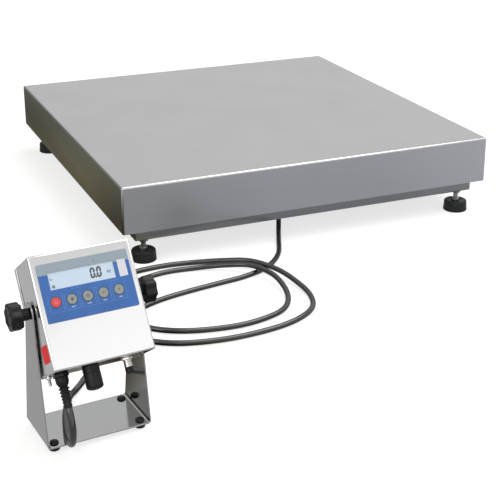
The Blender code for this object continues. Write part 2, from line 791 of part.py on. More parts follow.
def make_spacers(build):
    """A plate under the cell's fixed end and one on its loaded end, each bolted through."""
    bore = BOLT_DIAMETER + 2 * BOLT_HOLE_SLACK
    ends = (
        ("lower_spacer", -1, (CELL_BOTTOM + CROSS_TOP) / 2),
        ("upper_spacer", 1, (CELL_TOP + UPPER_BOTTOM) / 2),
    )
    for name, end, level in ends:
        y = end * (CELL_LENGTH - SPACER_LENGTH) / 2
        plate = finish_mesh(box((CELL_WIDTH, SPACER_LENGTH, SPACER_HEIGHT), (0, y, level)), name)
        spacer = build.part(name, plate, STEEL)
        holes = [
            cylinder("h", bore, 4 * SPACER_HEIGHT, SMALL_SIDES, centre=(x, y, level))
            for x, y in bolt_places(end)
        ]
        cut(spacer, build.cutter(f"{name}_holes", join_meshes(name, holes)))


def make_lower_frame(build):
    """Closed tubes at the front and back carry the feet; open ones run between them."""
    middle = (FRAME_TOP + FRAME_BOTTOM) / 2
    for name, side in (("lower_frame_front", -1), ("lower_frame_back", 1)):
        size = (2 * FRAME_HALF_X, FRAME_TUBE, FRAME_TUBE)
        tube = build.part(
            name, square_tube(name, size, FRAME_CORNER, 0, True), SATIN_STEEL,
            location=(0, side * FOOT_Y, middle),
        )
        add_shell(tube, FRAME_WALL)
        if side == -1:
            add_gland_bracket(build, tube)
        places = [(x, side * FOOT_Y) for x in (-FOOT_X, FOOT_X)]
        for word, meshes in (("bushes", foot_bushes(places)), ("nuts", foot_nuts(places))):
            cut(tube, build.cutter(f"{name}_{word}", join_meshes(word, meshes)), "UNION")
        bores = join_meshes("bores", foot_bores(places))
        cut(tube, build.cutter(f"{name}_bores", bores))
    side_x = FRAME_HALF_X - FRAME_TUBE / 2
    length = 2 * (FRAME_HALF_Y - FRAME_TUBE - GAP)
    stops = build.cutter("stop_holes", join_meshes("stop_holes", stop_holes()))
    for name, side in (("lower_frame_left", -1), ("lower_frame_right", 1)):
        size = (FRAME_TUBE, length, FRAME_TUBE)
        tube = build.part(
            name, square_tube(name, size, FRAME_CORNER, 1, False), SATIN_STEEL,
            location=(side * side_x, 0, middle),
        )
        add_shell(tube, FRAME_WALL)
        cut(tube, stops)
    size = (CROSS_WIDTH, length, CROSS_HEIGHT)
    name = "lower_cross_member"
    cross = build.part(
        name, square_tube(name, size, FRAME_CORNER, 1, False), SATIN_STEEL,
        location=(0, 0, (CROSS_TOP + FRAME_BOTTOM) / 2),
    )
    add_shell(cross, FRAME_WALL)
    access = []
    bolt_holes = []
    bore = BOLT_DIAMETER + 2 * BOLT_HOLE_SLACK
    for x, y in bolt_places(-1):
        access.append(cylinder("a", ACCESS_HOLE, CROSS_HEIGHT, centre=(x, y, FRAME_BOTTOM)))
        bolt_holes.append(cylinder("h", bore, CROSS_HEIGHT, SMALL_SIDES, centre=(x, y, CROSS_TOP)))
    cut(cross, build.cutter("lower_access_holes", join_meshes("lower_access_holes", access)))
    cut(cross, build.cutter("lower_bolt_holes", join_meshes("lower_bolt_holes", bolt_holes)))


def foot_bushes(places):
    """Round threaded bushes welded through the lower wall."""
    length = BUSH_LENGTH + BUSH_BELOW
    level = FRAME_BOTTOM + BUSH_LENGTH - length / 2
    return [cylinder("bush", BUSH_DIAMETER, length, centre=(x, y, level)) for x, y in places]


def foot_nuts(places):
    """The hexagon nuts that lock the feet under the frame."""
    nuts = []
    for x, y in places:
        nut = hex_mesh("nut", NUT_FLATS, NUT_HEIGHT + WELD, FRAME_BOTTOM + WELD)
        nuts.append(moved(nut, (x, y, 0)))
    return nuts


def foot_bores(places):
    """The bores for the studs, which also drain the closed tubes."""
    bore = STUD_DIAMETER + 2 * GAP
    length = 2 * (BUSH_LENGTH + NUT_HEIGHT)
    return [cylinder("b", bore, length, SMALL_SIDES, centre=(x, y, FRAME_BOTTOM)) for x, y in places]


def add_gland_bracket(build, tube):
    """An angle welded on the back of the front tube; the gland hangs in its flat leg."""
    front = FRONT_TUBE_BACK - WELD
    top = PLATFORM_GLAND_TOP
    left = PLATFORM_GLAND_X - BRACKET_LENGTH / 2
    low = top - BRACKET_SHEET
    points = [
        (left, front, low + BRACKET_HEIGHT), (left, front, low), (left, front + BRACKET_DEPTH, low),
    ]
    mesh = swept_strip("gland_bracket", points, (BRACKET_LENGTH, 0, 0), BRACKET_FOLD)
    bracket = build.cutter("gland_bracket", mesh)
    add_shell(bracket, BRACKET_SHEET)
    cut(tube, bracket, "UNION")
    place = (PLATFORM_GLAND_X, PLATFORM_GLAND_Y, top)
    hole = cylinder("hole", GLAND_THREAD_DIAMETER + 2 * GAP, 4 * BRACKET_SHEET, centre=place)
    cut(tube, build.cutter("gland_bracket_hole", hole))


def stop_places():
    """The overload stops stand on the side tubes, under the ends of the upper arms."""
    return four_corners(FRAME_HALF_X - FRAME_TUBE / 2 - STOP_INSET, ARM_Y)


def stop_holes():
    """The threaded holes of the overload stops in the side tubes."""
    bore = STUD_DIAMETER + 2 * GAP
    places = stop_places().values()
    return [cylinder("h", bore, FRAME_TUBE, SMALL_SIDES, centre=(x, y, FRAME_TOP)) for x, y in places]


def make_overload_stops(build):
    """Screws with lock nuts that stop the upper frame before the load cell is overloaded."""
    head_top = UPPER_BOTTOM - STOP_GAP
    shaft_bottom = FRAME_TOP - STOP_THREAD_BELOW
    height = head_top - STOP_HEAD_HEIGHT / 2 - shaft_bottom
    for corner, (x, y) in stop_places().items():
        name = f"overload_stop_{corner}"
        place = (x, y, 0)
        head = hex_mesh(name, NUT_FLATS, STOP_HEAD_HEIGHT, head_top)
        stop = build.part(name, head, ZINC, location=place)
        middle = (0, 0, shaft_bottom + height / 2)
        shaft = cylinder("shaft", STUD_DIAMETER, height, SMALL_SIDES, centre=middle)
        cut(stop, build.cutter(f"stop_shaft_{corner}", shaft, location=place), "UNION")
        nut = hex_mesh("nut", NUT_FLATS, NUT_HEIGHT, FRAME_TOP + GAP + NUT_HEIGHT)
        cut(stop, build.cutter(f"stop_nut_{corner}", nut, location=place), "UNION")


def make_spirit_level(build):
    """A round bubble level with a flange, on top of the frame at the front left."""
    base = FRAME_TOP + GAP
    flange = LEVEL_FLANGE_DIAMETER / 2
    radius = LEVEL_DIAMETER / 2
    top = base + LEVEL_HEIGHT
    outline = (
        (0.0, top), (radius * 0.5, top - LEVEL_CROWN), (radius - LEVEL_RIM, top - LEVEL_RIM),
        (radius, top - 2 * LEVEL_RIM), (radius, base + LEVEL_FLANGE_HEIGHT),
        (flange, base + LEVEL_FLANGE_HEIGHT), (flange, base), (0.0, base),
    )
    place = (-FRAME_HALF_X + LEVEL_INSET, -FOOT_Y, 0)
    vial = build.part("spirit_level", profile_mesh("spirit_level", outline, False), LEVEL_GREEN, location=place)
    add_screw(vial)


def make_feet(build):
    """Each foot is a threaded stud and a moulded disc that turn together in the frame's bush."""
    stud_top = FRAME_BOTTOM + BUSH_LENGTH + STUD_ABOVE_BUSH
    socket = DISC_TOP - FOOT_SOCKET_DEPTH
    radius = STUD_DIAMETER / 2
    collar = FOOT_COLLAR_DIAMETER / 2
    seat = DISC_TOP + GAP
    collar_top = seat + FOOT_COLLAR_HEIGHT
    stud_outline = (
        (0.0, stud_top), (radius - STUD_CHAMFER, stud_top), (radius, stud_top - STUD_CHAMFER),
        (radius, collar_top + 2 * STUD_CHAMFER), (collar, collar_top), (collar, seat),
        (radius, seat), (radius, socket + GAP), (0.0, socket + GAP),
    )
    disc = FOOT_DISC_DIAMETER / 2
    side = disc - FOOT_DISC_TAPER
    hole = radius + GAP
    disc_outline = [(0.0, socket), (hole, socket), (hole, DISC_TOP)]
    for k in range(3):
        angle = math.pi / 2 * (1 - k / 2)
        disc_outline.append((
            side - FOOT_DISC_ROUND * (1 - math.cos(angle)),
            DISC_TOP - FOOT_DISC_ROUND * (1 - math.sin(angle)),
        ))
    disc_outline += [
        (disc, FLOOR + FOOT_DISC_CHAMFER), (disc - FOOT_DISC_CHAMFER, FLOOR), (0.0, FLOOR),
    ]
    for corner, (x, y) in four_corners(FOOT_X, FOOT_Y).items():
        axis = f"foot_{corner}_axis"
        build.anchor(axis, location=(x, y, 0))
        name = f"foot_stud_{corner}"
        stud = build.part(name, profile_mesh(name, stud_outline, False), ZINC, parent=axis)
        add_screw(stud, SMALL_SIDES)
        name = f"foot_disc_{corner}"
        moulding = build.part(name, profile_mesh(name, disc_outline, False), BLACK_RUBBER, parent=axis)
        add_screw(moulding)


def gland_outline(thread_top, seat):
    """A gland's thread, dome nut and soft collar, from the top down; its hexagon is joined on later."""
    thread = GLAND_THREAD_DIAMETER / 2
    body = GLAND_FLATS / 2 - GLAND_DOME_INSET
    neck = body - GLAND_NECK
    low = seat - GLAND_HEX_HEIGHT
    tip = low - GLAND_DOME_HEIGHT
    return (
        (0.0, thread_top), (thread, thread_top), (thread, seat - GLAND_NECK), (neck, seat - GLAND_NECK),
        (neck, low), (body, low - GLAND_EDGE), (body, low - GLAND_DOME_HEIGHT * 0.45),
        (neck, low - GLAND_DOME_HEIGHT * 0.75), (GLAND_DOME_TIP / 2, tip), (0.0, tip),
    )


def make_platform_gland(build):
    anchor = "platform_gland_place"
    build.anchor(anchor, location=(PLATFORM_GLAND_X, PLATFORM_GLAND_Y, 0))
    outline = gland_outline(PLATFORM_GLAND_TOP + GLAND_THREAD_ABOVE, PLATFORM_GLAND_SEAT)
    gland = build.part("platform_gland", turned_mesh("gland", outline), BLACK_PLASTIC, parent=anchor)
    hexagon = hex_mesh("hexagon", GLAND_FLATS, GLAND_HEX_HEIGHT, PLATFORM_GLAND_SEAT)
    cut(gland, build.cutter("platform_gland_hexagon", hexagon, parent=anchor), "UNION")


def gland_exit(build, place, level):
    """Two points on a gland's axis, just below its tip and further out, where a cord leaves it."""
    turn = build.anchors[place].matrix_world
    return tuple(tuple(turn @ Vector((0, 0, z))) for z in (level - GAP, level - GAP - GLAND_EXIT))


def make_cords(build):
    bpy.context.view_layer.update()
    joint = Vector(CABLE_ROUTE[-1]).lerp(Vector(TAIL_ROUTE[0]), 0.5)
    leaves = gland_exit(build, "platform_gland_place", PLATFORM_GLAND_TIP)
    cable = smooth_path(leaves + CABLE_ROUTE + (tuple(joint),), CABLE_SAG)
    build.part("signal_cable", cord_curve("signal_cable", cable, CABLE_DIAMETER, 2), CABLE_BLACK)
    start = joint + (Vector(TAIL_ROUTE[0]) - joint).normalized() * GAP
    arrives = gland_exit(build, "cable_gland_place", RELIEF_TIP)
    tail = smooth_path((tuple(start),) + TAIL_ROUTE + arrives[::-1], CABLE_SAG)
    build.part("cable_tail", cord_curve("cable_tail", tail, CABLE_DIAMETER, 2), CABLE_BLACK)
    lead = smooth_path(LEAD_ROUTE, LEAD_SAG)
    build.part("load_cell_lead", cord_curve("load_cell_lead", lead, LEAD_DIAMETER, 2), CABLE_BLACK)


def make_stand_bracket(build):
    """A strip bent into a U; its sides taper up to a round end about the tilting axis."""
    half = STAND_WIDTH / 2
    base = STAND_FOOT_HEIGHT
    top = AXIS_HEIGHT + STAND_TOP_RADIUS
    outline = [(-half, top + STAND_BEND)]
    for k in range(5):
        angle = math.pi + k * math.pi / 8
        x = -half + STAND_BEND + STAND_BEND * math.cos(angle)
        outline.append((x, base + STAND_BEND + STAND_BEND * math.sin(angle)))
    outline += [(-x, z) for x, z in reversed(outline)]
    points = [(x, -STAND_DEPTH / 2, z) for x, z in outline]
    strip = swept_strip("stand_bracket", points, (0, STAND_DEPTH, 0))
    bracket = build.part("stand_bracket", strip, STEEL, parent="stand")
    add_shell(bracket, STAND_SHEET)
    cut(bracket, build.cutter("stand_taper", stand_taper(), parent="stand"), "INTERSECT")
    bore = KNOB_STUD_DIAMETER + 2 * SLIDE_GAP
    holes = [cylinder("h", bore, 2 * STAND_WIDTH, ROUND_SIDES, "X", (0, 0, AXIS_HEIGHT))]
    for x, y in stand_foot_places().values():
        bore = STAND_FOOT_NECK + 2 * GAP
        holes.append(cylinder("h", bore, 4 * STAND_SHEET, SMALL_SIDES, centre=(x, y, base)))
    cut(bracket, build.cutter("stand_holes", join_meshes("stand_holes", holes), parent="stand"))


def stand_taper():
    """A prism with the side plates' outline: straight tapering edges that meet a half circle."""
    half = STAND_DEPTH / 2
    radius = STAND_TOP_RADIUS
    base = STAND_FOOT_HEIGHT - STAND_SHEET
    reach = math.hypot(half, AXIS_HEIGHT - base)
    lean = math.atan2(half, AXIS_HEIGHT - base) - math.asin(radius / reach)
    points = [(-half, base)]
    steps = 12
    first = math.pi - lean
    for k in range(steps + 1):
        angle = first + (lean - first) * k / steps
        points.append((radius * math.cos(angle), AXIS_HEIGHT + radius * math.sin(angle)))
    points.append((half, base))
    bm = bmesh.new()
    face = bm.faces.new([bm.verts.new((-STAND_WIDTH, y, z)) for y, z in points])
    swept = bmesh.ops.extrude_face_region(bm, geom=[face])
    far = [item for item in swept["geom"] if isinstance(item, bmesh.types.BMVert)]
    bmesh.ops.translate(bm, vec=(2 * STAND_WIDTH, 0, 0), verts=far)
    return finish_mesh(bm, "stand_taper")


def stand_foot_places():
    x = STAND_WIDTH / 2 - STAND_FOOT_INSET
    y = STAND_DEPTH / 2 - STAND_FOOT_INSET
    return four_corners(x, y)


def make_stand_feet(build):
    """Push-in rubber feet: a wide pad below the plate, a neck in its hole and a domed head above."""
    pad = STAND_FOOT_DIAMETER / 2
    neck = STAND_FOOT_NECK / 2
    head = STAND_FOOT_HEAD / 2
    plate = STAND_FOOT_HEIGHT + STAND_SHEET
    outline = (
        (0.0, plate + GAP + STAND_FOOT_HEAD_HEIGHT),
        (head * 0.55, plate + GAP + STAND_FOOT_HEAD_HEIGHT * 0.9),
        (head * 0.9, plate + GAP + STAND_FOOT_HEAD_HEIGHT * 0.5), (head, plate + GAP),
        (neck, plate + GAP), (neck, STAND_FOOT_HEIGHT - GAP), (pad, STAND_FOOT_HEIGHT - GAP),
        (pad, STAND_FOOT_CHAMFER), (pad - STAND_FOOT_CHAMFER, 0.0), (0.0, 0.0),
    )
    for corner, (x, y) in stand_foot_places().items():
        name = f"stand_foot_{corner}"
        mesh = profile_mesh(name, outline, False)
        foot = build.part(name, mesh, BLACK_RUBBER, parent="stand", location=(x, y, 0))
        add_screw(foot, SMALL_SIDES)


def housing_box(front, back, inset=0.0):
    """A block in the housing's frame between two depths, as wide and tall as the housing."""
    size = (HOUSING_WIDTH - 2 * inset, back - front, HOUSING_ABOVE + HOUSING_BELOW - 2 * inset)
    return box(size, (0, (front + back) / 2, HOUSING_MIDDLE))


def open_one_side(bm, way, rim):
    """Opens a box towards the back (1) or front (-1), and leaves a flat rim if one is given."""
    face = max(bm.faces, key=lambda item: item.calc_center_median().y * way)
    if rim:
        bmesh.ops.inset_region(bm, faces=[face], thickness=rim, use_even_offset=True)
    bmesh.ops.delete(bm, geom=[face], context="FACES_ONLY")


def make_housing_shell(build):
    """A drawn box, open at the back with a flat rim, and what is welded to it."""
    bm = housing_box(-HOUSING_FRONT, HOUSING_BACK)
    open_one_side(bm, 1, HOUSING_FLANGE)
    folded = [
        edge
        for edge in bm.edges
        if len(edge.link_faces) == 2 and edge.calc_face_angle(0.0) > 1.0
    ]
    bevel_edges(bm, folded, HOUSING_BEND, 2)
    shell = build.part("housing_shell", finish_mesh(bm, "housing_shell"), STEEL, parent="housing")
    add_shell(shell, HOUSING_SHEET)
    welded = (("board_posts", board_posts()), ("pivot_nuts", pivot_nuts()), ("earth_stud", earth_stud()))
    for name, meshes in welded:
        cut(shell, build.cutter(name, join_meshes(name, meshes), parent="housing"), "UNION")
    face_cut = (WINDOW_WIDTH - 2 * WINDOW_LEDGE, 6 * HOUSING_SHEET, WINDOW_HEIGHT - 2 * WINDOW_LEDGE)
    window = finish_mesh(box(face_cut, (WINDOW_X, -HOUSING_FRONT, WINDOW_Z)), "window_cut")
    cut(shell, build.cutter("housing_window", window, parent="housing"))
    through = 8 * HOUSING_SHEET
    holes = []
    fittings = (
        (GLAND_FROM_LEFT, GLAND_DEPTH, GLAND_THREAD_DIAMETER),
        (PORT_FROM_LEFT, PORT_DEPTH, PORT_SOCKET_DIAMETER),
        (PLUG_FROM_LEFT, PLUG_DEPTH, PLUG_DIAMETER),
    )
    for left, depth, size in fittings:
        place = (-HOUSING_WIDTH / 2 + left, -HOUSING_FRONT + depth, -HOUSING_BELOW)
        holes.append(cylinder("h", size + 2 * GAP, through, ROUND_SIDES, centre=place))
    cut(shell, build.cutter("housing_bottom_holes", join_meshes("b", holes), parent="housing"))
    pivot = cylinder("p", KNOB_STUD_DIAMETER + 2 * GAP, 2 * HOUSING_WIDTH, ROUND_SIDES, "X")
    cut(shell, build.cutter("housing_pivot_holes", pivot, parent="housing"))


def board_posts():
    """Spacer posts on the inside of the face, which carry the main board."""
    low = -HOUSING_FRONT + HOUSING_SHEET - WELD
    depth = BOARD_FRONT - GAP - low
    posts = []
    places = four_corners(BOARD_WIDTH / 2 - STANDOFF_INSET, BOARD_HEIGHT / 2 - STANDOFF_INSET)
    for x, z in places.values():
        place = (x, low + depth / 2, HOUSING_MIDDLE + z)
        posts.append(cylinder("post", STANDOFF_DIAMETER, depth, SMALL_SIDES, "Y", place))
    return posts


def pivot_nuts():
    """Weld nuts inside the sides, which take the knobs' studs."""
    length = NUT_INSERT_LENGTH + WELD
    x = INNER_HALF + WELD - length / 2
    return [
        cylinder("nut", NUT_INSERT_DIAMETER, length, ROUND_SIDES, "X", (way * x, 0, 0))
        for way in (-1, 1)
    ]


def earth_stud():
    """The earth stud that is welded into the underside, and its nut."""
    radius = EARTH_DIAMETER / 2
    inside = -HOUSING_BELOW + HOUSING_SHEET + EARTH_INSIDE
    low = -HOUSING_BELOW - EARTH_LENGTH
    point = EARTH_DIAMETER / 8
    outline = (
        (0.0, inside), (radius, inside), (radius, low + point), (radius - point, low), (0.0, low),
    )
    seat = -HOUSING_BELOW + WELD
    nut = hex_mesh("nut", EARTH_NUT_FLATS, EARTH_NUT_HEIGHT + WELD, seat)
    stud = turned_mesh("stud", outline, SMALL_SIDES)
    place = (-HOUSING_WIDTH / 2 + EARTH_FROM_LEFT, -HOUSING_FRONT + EARTH_DEPTH, 0)
    return [moved(union_of(stud, nut), place)]


def union_of(first, second):
    """Two overlapping meshes made one by a Boolean, for a cutter that needs one clean body."""
    holder = bpy.data.objects.new("first", first)
    other = bpy.data.objects.new("second", second)
    bpy.context.scene.collection.objects.link(holder)
    bpy.context.scene.collection.objects.link(other)
    cut(holder, other, "UNION")
    bpy.context.view_layer.update()
    graph = bpy.context.evaluated_depsgraph_get()
    made = bpy.data.meshes.new_from_object(holder.evaluated_get(graph))
    bpy.data.objects.remove(holder, do_unlink=True)
    bpy.data.objects.remove(other, do_unlink=True)
    return made


def make_gasket(build):
    """A flat rubber frame between the shell's rim and the back cover."""
    front = HOUSING_BACK + GAP
    bm = housing_box(front, front + GASKET_HEIGHT, GASKET_INSET)
    name = "housing_gasket"
    gasket = build.part(name, finish_mesh(bm, name), BLACK_RUBBER, parent="housing")
    hole = housing_box(front - GASKET_HEIGHT, front + 2 * GASKET_HEIGHT, HOUSING_FLANGE)
    cut(gasket, build.cutter("gasket_opening", finish_mesh(hole, "hole"), parent="housing"))


def make_back_cover(build):
    """A shallow tray that closes the shell from behind."""
    bm = housing_box(COVER_FRONT, COVER_BACK)
    open_one_side(bm, -1, 0.0)
    folded = [edge for edge in bm.edges if len(edge.link_faces) == 2]
    bevel_edges(bm, folded, HOUSING_BEND, 2)
    cover = build.part("back_cover", finish_mesh(bm, "back_cover"), STEEL, parent="housing")
    add_shell(cover, HOUSING_SHEET)


def key_places():
    first = -OVERLAY_WIDTH / 2 + KEY_FIRST
    return [(first + KEY_SPACING * index, KEY_Z) for index in range(len(KEY_NAMES))]


def make_keypad(build):
    size = (OVERLAY_WIDTH, OVERLAY_THICKNESS, OVERLAY_HEIGHT)
    centre = (0, OVERLAY_BACK - OVERLAY_THICKNESS / 2, OVERLAY_MIDDLE)
    sheet = rounded_box("keypad_overlay", size, OVERLAY_CORNER, 1, 3, centre)
    overlay = build.part("keypad_overlay", sheet, OVERLAY_BLUE, parent="housing")
    deep = 6 * OVERLAY_THICKNESS
    size = (WINDOW_WIDTH + 2 * GAP, deep, WINDOW_HEIGHT + 2 * GAP)
    window = finish_mesh(box(size, (WINDOW_X, OVERLAY_BACK, WINDOW_Z)), "overlay_window")
    cut(overlay, build.cutter("overlay_window", window, parent="housing"))
    holes = []
    for x, z in key_places():
        holes.append(cylinder("k", KEY_DIAMETER + 2 * GAP, deep, ROUND_SIDES, "Y", (x, OVERLAY_BACK, z)))
    cut(overlay, build.cutter("overlay_key_holes", join_meshes("k", holes), parent="housing"))
    size = (WINDOW_WIDTH, WINDOW_THICKNESS, WINDOW_HEIGHT)
    centre = (WINDOW_X, OVERLAY_BACK - WINDOW_THICKNESS / 2, WINDOW_Z)
    lens = rounded_box("display_window", size, 0.0004, 1, 1, centre)
    build.part("display_window", lens, WINDOW_CLEAR, parent="housing")


def make_keys(build):
    """Low embossed buttons that travel in the holes of the overlay."""
    front = OVERLAY_BACK - OVERLAY_THICKNESS - KEY_PROUD
    radius = KEY_DIAMETER / 2
    outline = (
        (0.0, KEY_THICKNESS), (radius - KEY_ROUND, KEY_THICKNESS), (radius, KEY_THICKNESS - KEY_ROUND),
        (radius, 0.0), (0.0, 0.0),
    )
    for name, (x, z) in zip(KEY_NAMES, key_places()):
        build.anchor(f"{name}_place", "housing", (x, front + KEY_THICKNESS, z), (math.pi / 2, 0, 0))
        colour = KEY_RED if name == "key_power" else KEY_GREY
        key = build.part(name, profile_mesh(name, outline, False), colour, parent=f"{name}_place")
        add_screw(key)


def make_electronics(build):
    inner = -HOUSING_FRONT + HOUSING_SHEET + GAP
    depth = BOARD_FRONT - GAP - inner
    size = (DISPLAY_WIDTH, depth, DISPLAY_HEIGHT)
    centre = (WINDOW_X, inner + depth / 2, WINDOW_Z)
    module = rounded_box("display_module", size, BOARD_CORNER / 2, 1, 1, centre)
    build.part("display_module", module, BOARD_GREEN, parent="housing")
    centre = (0, BOARD_FRONT + BOARD_THICKNESS / 2, HOUSING_MIDDLE)
    size = (BOARD_WIDTH, BOARD_THICKNESS, BOARD_HEIGHT)
    board = rounded_box("main_board", size, BOARD_CORNER, 1, 2, centre)
    build.part("main_board", board, BOARD_GREEN, parent="housing")


def knob_mesh(start):
    """A lobed knob head with a hub, built along Z from the hub's end at the given height."""
    sides = KNOB_LOBES * 6
    bm = bmesh.new()
    bmesh.ops.create_circle(bm, cap_ends=True, segments=sides, radius=KNOB_DIAMETER / 2)
    for vert in bm.verts:
        angle = math.atan2(vert.co.y, vert.co.x)
        wave = 0.5 * (1 - math.cos(KNOB_LOBES * angle))
        vert.co *= 1 - KNOB_LOBE_DEPTH * wave / (KNOB_DIAMETER / 2)
    raised = bmesh.ops.extrude_face_region(bm, geom=bm.faces[:])
    top = [item for item in raised["geom"] if isinstance(item, bmesh.types.BMVert)]
    bmesh.ops.translate(bm, vec=(0, 0, KNOB_THICKNESS), verts=top)
    bmesh.ops.recalc_face_normals(bm, faces=bm.faces)
    rims = [
        edge
        for edge in bm.edges
        if abs(edge.verts[0].co.z - edge.verts[1].co.z) < 0.0001
        and len(edge.link_faces) == 2
        and edge.calc_face_angle(0.0) > 1.0
    ]
    bevel_edges(bm, rims, KNOB_ROUND, 2)
    bmesh.ops.translate(bm, vec=(0, 0, start + KNOB_HUB_HEIGHT), verts=bm.verts)
    return finish_mesh(bm, "knob")


def make_knobs(build):
    """Lobed knobs with moulded-in studs, and the rubber washers that they press on the stand."""
    start = STAND_WIDTH / 2 + SLIDE_GAP
    stud_low = INNER_HALF - NUT_INSERT_LENGTH
    stud_high = start + KNOB_SOCKET_DEPTH
    radius = KNOB_STUD_DIAMETER / 2
    stud_outline = (
        (0.0, stud_high), (radius, stud_high), (radius, stud_low + STUD_CHAMFER),
        (radius - STUD_CHAMFER, stud_low), (0.0, stud_low),
    )
    low = HOUSING_WIDTH / 2 + GAP
    bore = KNOB_STUD_DIAMETER + 2 * GAP
    washer_outline = ring_points(WASHER_DIAMETER, bore, low + WASHER_THICKNESS, low)
    for side, way in (("left", -1), ("right", 1)):
        axis = f"knob_{side}_axis"
        build.anchor(axis, "housing", (0, 0, 0), (0, way * math.pi / 2, 0))
        knob = build.part(f"knob_{side}", knob_mesh(start), BLACK_PLASTIC, parent=axis)
        hub_length = KNOB_HUB_HEIGHT + KNOB_ROUND
        hub = cylinder("hub", KNOB_HUB_DIAMETER, hub_length, centre=(0, 0, start + hub_length / 2))
        cut(knob, build.cutter(f"knob_{side}_hub", hub, parent=axis), "UNION")
        stud = turned_mesh("stud", stud_outline, SMALL_SIDES)
        cut(knob, build.cutter(f"knob_{side}_stud", stud, parent=axis), "UNION")
        name = f"pivot_washer_{side}"
        washer = build.part(name, profile_mesh(name, washer_outline, True), BLACK_RUBBER, parent=axis)
        add_screw(washer)


def fitting_place(name, build, left, depth):
    """An anchor on the housing's underside, whose Z axis runs up the housing's face."""
    place = (-HOUSING_WIDTH / 2 + left, -HOUSING_FRONT + depth, 0)
    build.anchor(name, "housing", place)
    return name


def make_cable_gland(build):
    anchor = fitting_place("cable_gland_place", build, GLAND_FROM_LEFT, GLAND_DEPTH)
    thread_top = -HOUSING_BELOW + HOUSING_SHEET + GLAND_THREAD_ABOVE
    outline = gland_outline(thread_top, FITTING_TOP)
    gland = build.part("cable_gland", turned_mesh("gland", outline), BLACK_PLASTIC, parent=anchor)
    hexagon = hex_mesh("hexagon", GLAND_FLATS, GLAND_HEX_HEIGHT, FITTING_TOP)
    cut(gland, build.cutter("cable_gland_hexagon", hexagon, parent=anchor), "UNION")
    outline = [(0.0, RELIEF_TOP), (GLAND_DOME_TIP / 2, RELIEF_TOP)]
    pitch = GLAND_RELIEF_LENGTH / (GLAND_RELIEF_RIBS + 0.5)
    level = RELIEF_TOP - pitch * 0.25
    for rib in range(GLAND_RELIEF_RIBS):
        share = rib / (GLAND_RELIEF_RIBS - 1)
        radius = (GLAND_RELIEF_TOP + (GLAND_RELIEF_TIP - GLAND_RELIEF_TOP) * share) / 2
        outline += [
            (GLAND_RELIEF_CORE, level), (radius, level - pitch * 0.25), (radius, level - pitch * 0.55),
            (GLAND_RELIEF_CORE, level - pitch * 0.8),
        ]
        level -= pitch
    outline += [(GLAND_RELIEF_CORE, RELIEF_TIP), (0.0, RELIEF_TIP)]
    relief = build.part("cable_relief", profile_mesh("relief", outline, False), BLACK_RUBBER, parent=anchor)
    add_screw(relief, SMALL_SIDES)


def make_port(build):
    """A threaded service port under the housing and its screw-on domed cap."""
    anchor = fitting_place("port_place", build, PORT_FROM_LEFT, PORT_DEPTH)
    radius = PORT_SOCKET_DIAMETER / 2
    inside = -HOUSING_BELOW + HOUSING_SHEET + GLAND_THREAD_ABOVE
    low = FITTING_TOP - PORT_SOCKET_LENGTH
    mouth = radius - PORT_RIM
    end = low + PORT_MOUTH
    outline = (
        (0.0, inside), (radius, inside), (radius, low), (mouth, low), (mouth, end), (0.0, end),
    )
    socket = build.part("port_socket", profile_mesh("socket", outline, False), BLACK_PLASTIC, parent=anchor)
    add_screw(socket)
    outer = PORT_CAP_DIAMETER / 2
    bore = radius + SLIDE_GAP
    bottom = FITTING_TOP - PORT_CAP_LENGTH
    inner_end = low - SLIDE_GAP
    crown = outer * 0.45
    outline = [(0.0, inner_end), (bore, inner_end), (bore, FITTING_TOP), (outer, FITTING_TOP)]
    for k in range(4):
        angle = k * math.pi / 8
        outline.append((outer * math.cos(angle), bottom + crown * (1 - math.sin(angle))))
    outline.append((0.0, bottom))
    cap = build.part("port_cap", profile_mesh("cap", outline, False), BLACK_PLASTIC, parent=anchor)
    add_screw(cap)


def make_round_connector(build):
    anchor = fitting_place("connector_place", build, PLUG_FROM_LEFT, PLUG_DEPTH)
    inside = -HOUSING_BELOW + HOUSING_SHEET + GLAND_THREAD_ABOVE
    radius = PLUG_DIAMETER / 2
    low = FITTING_TOP - PLUG_NUT_HEIGHT - PLUG_LENGTH
    bore = PLUG_INSERT_DIAMETER / 2 + GAP
    neck = radius - PLUG_STEP
    outline = (
        (0.0, inside), (radius, inside), (radius, low + PLUG_RING), (neck, low + PLUG_RING - PLUG_STEP),
        (neck, low), (bore, low), (bore, low + PLUG_MOUTH), (0.0, low + PLUG_MOUTH),
    )
    shell = build.part("round_connector", turned_mesh("plug", outline), NICKEL, parent=anchor)
    nut = hex_mesh("nut", PLUG_NUT_FLATS, PLUG_NUT_HEIGHT, FITTING_TOP)
    cut(shell, build.cutter("connector_nut", nut, parent=anchor), "UNION")
    radius = PLUG_INSERT_DIAMETER / 2
    top = low + PLUG_MOUTH - GAP
    end = low - PLUG_INSERT_PROUD
    edge = PLUG_INSERT_ROUND
    outline = ((0.0, top), (radius, top), (radius, end + edge), (radius - edge, end), (0.0, end))
    insert = build.part("connector_insert", profile_mesh("insert", outline, False), BLACK_PLASTIC, parent=anchor)
    add_screw(insert)


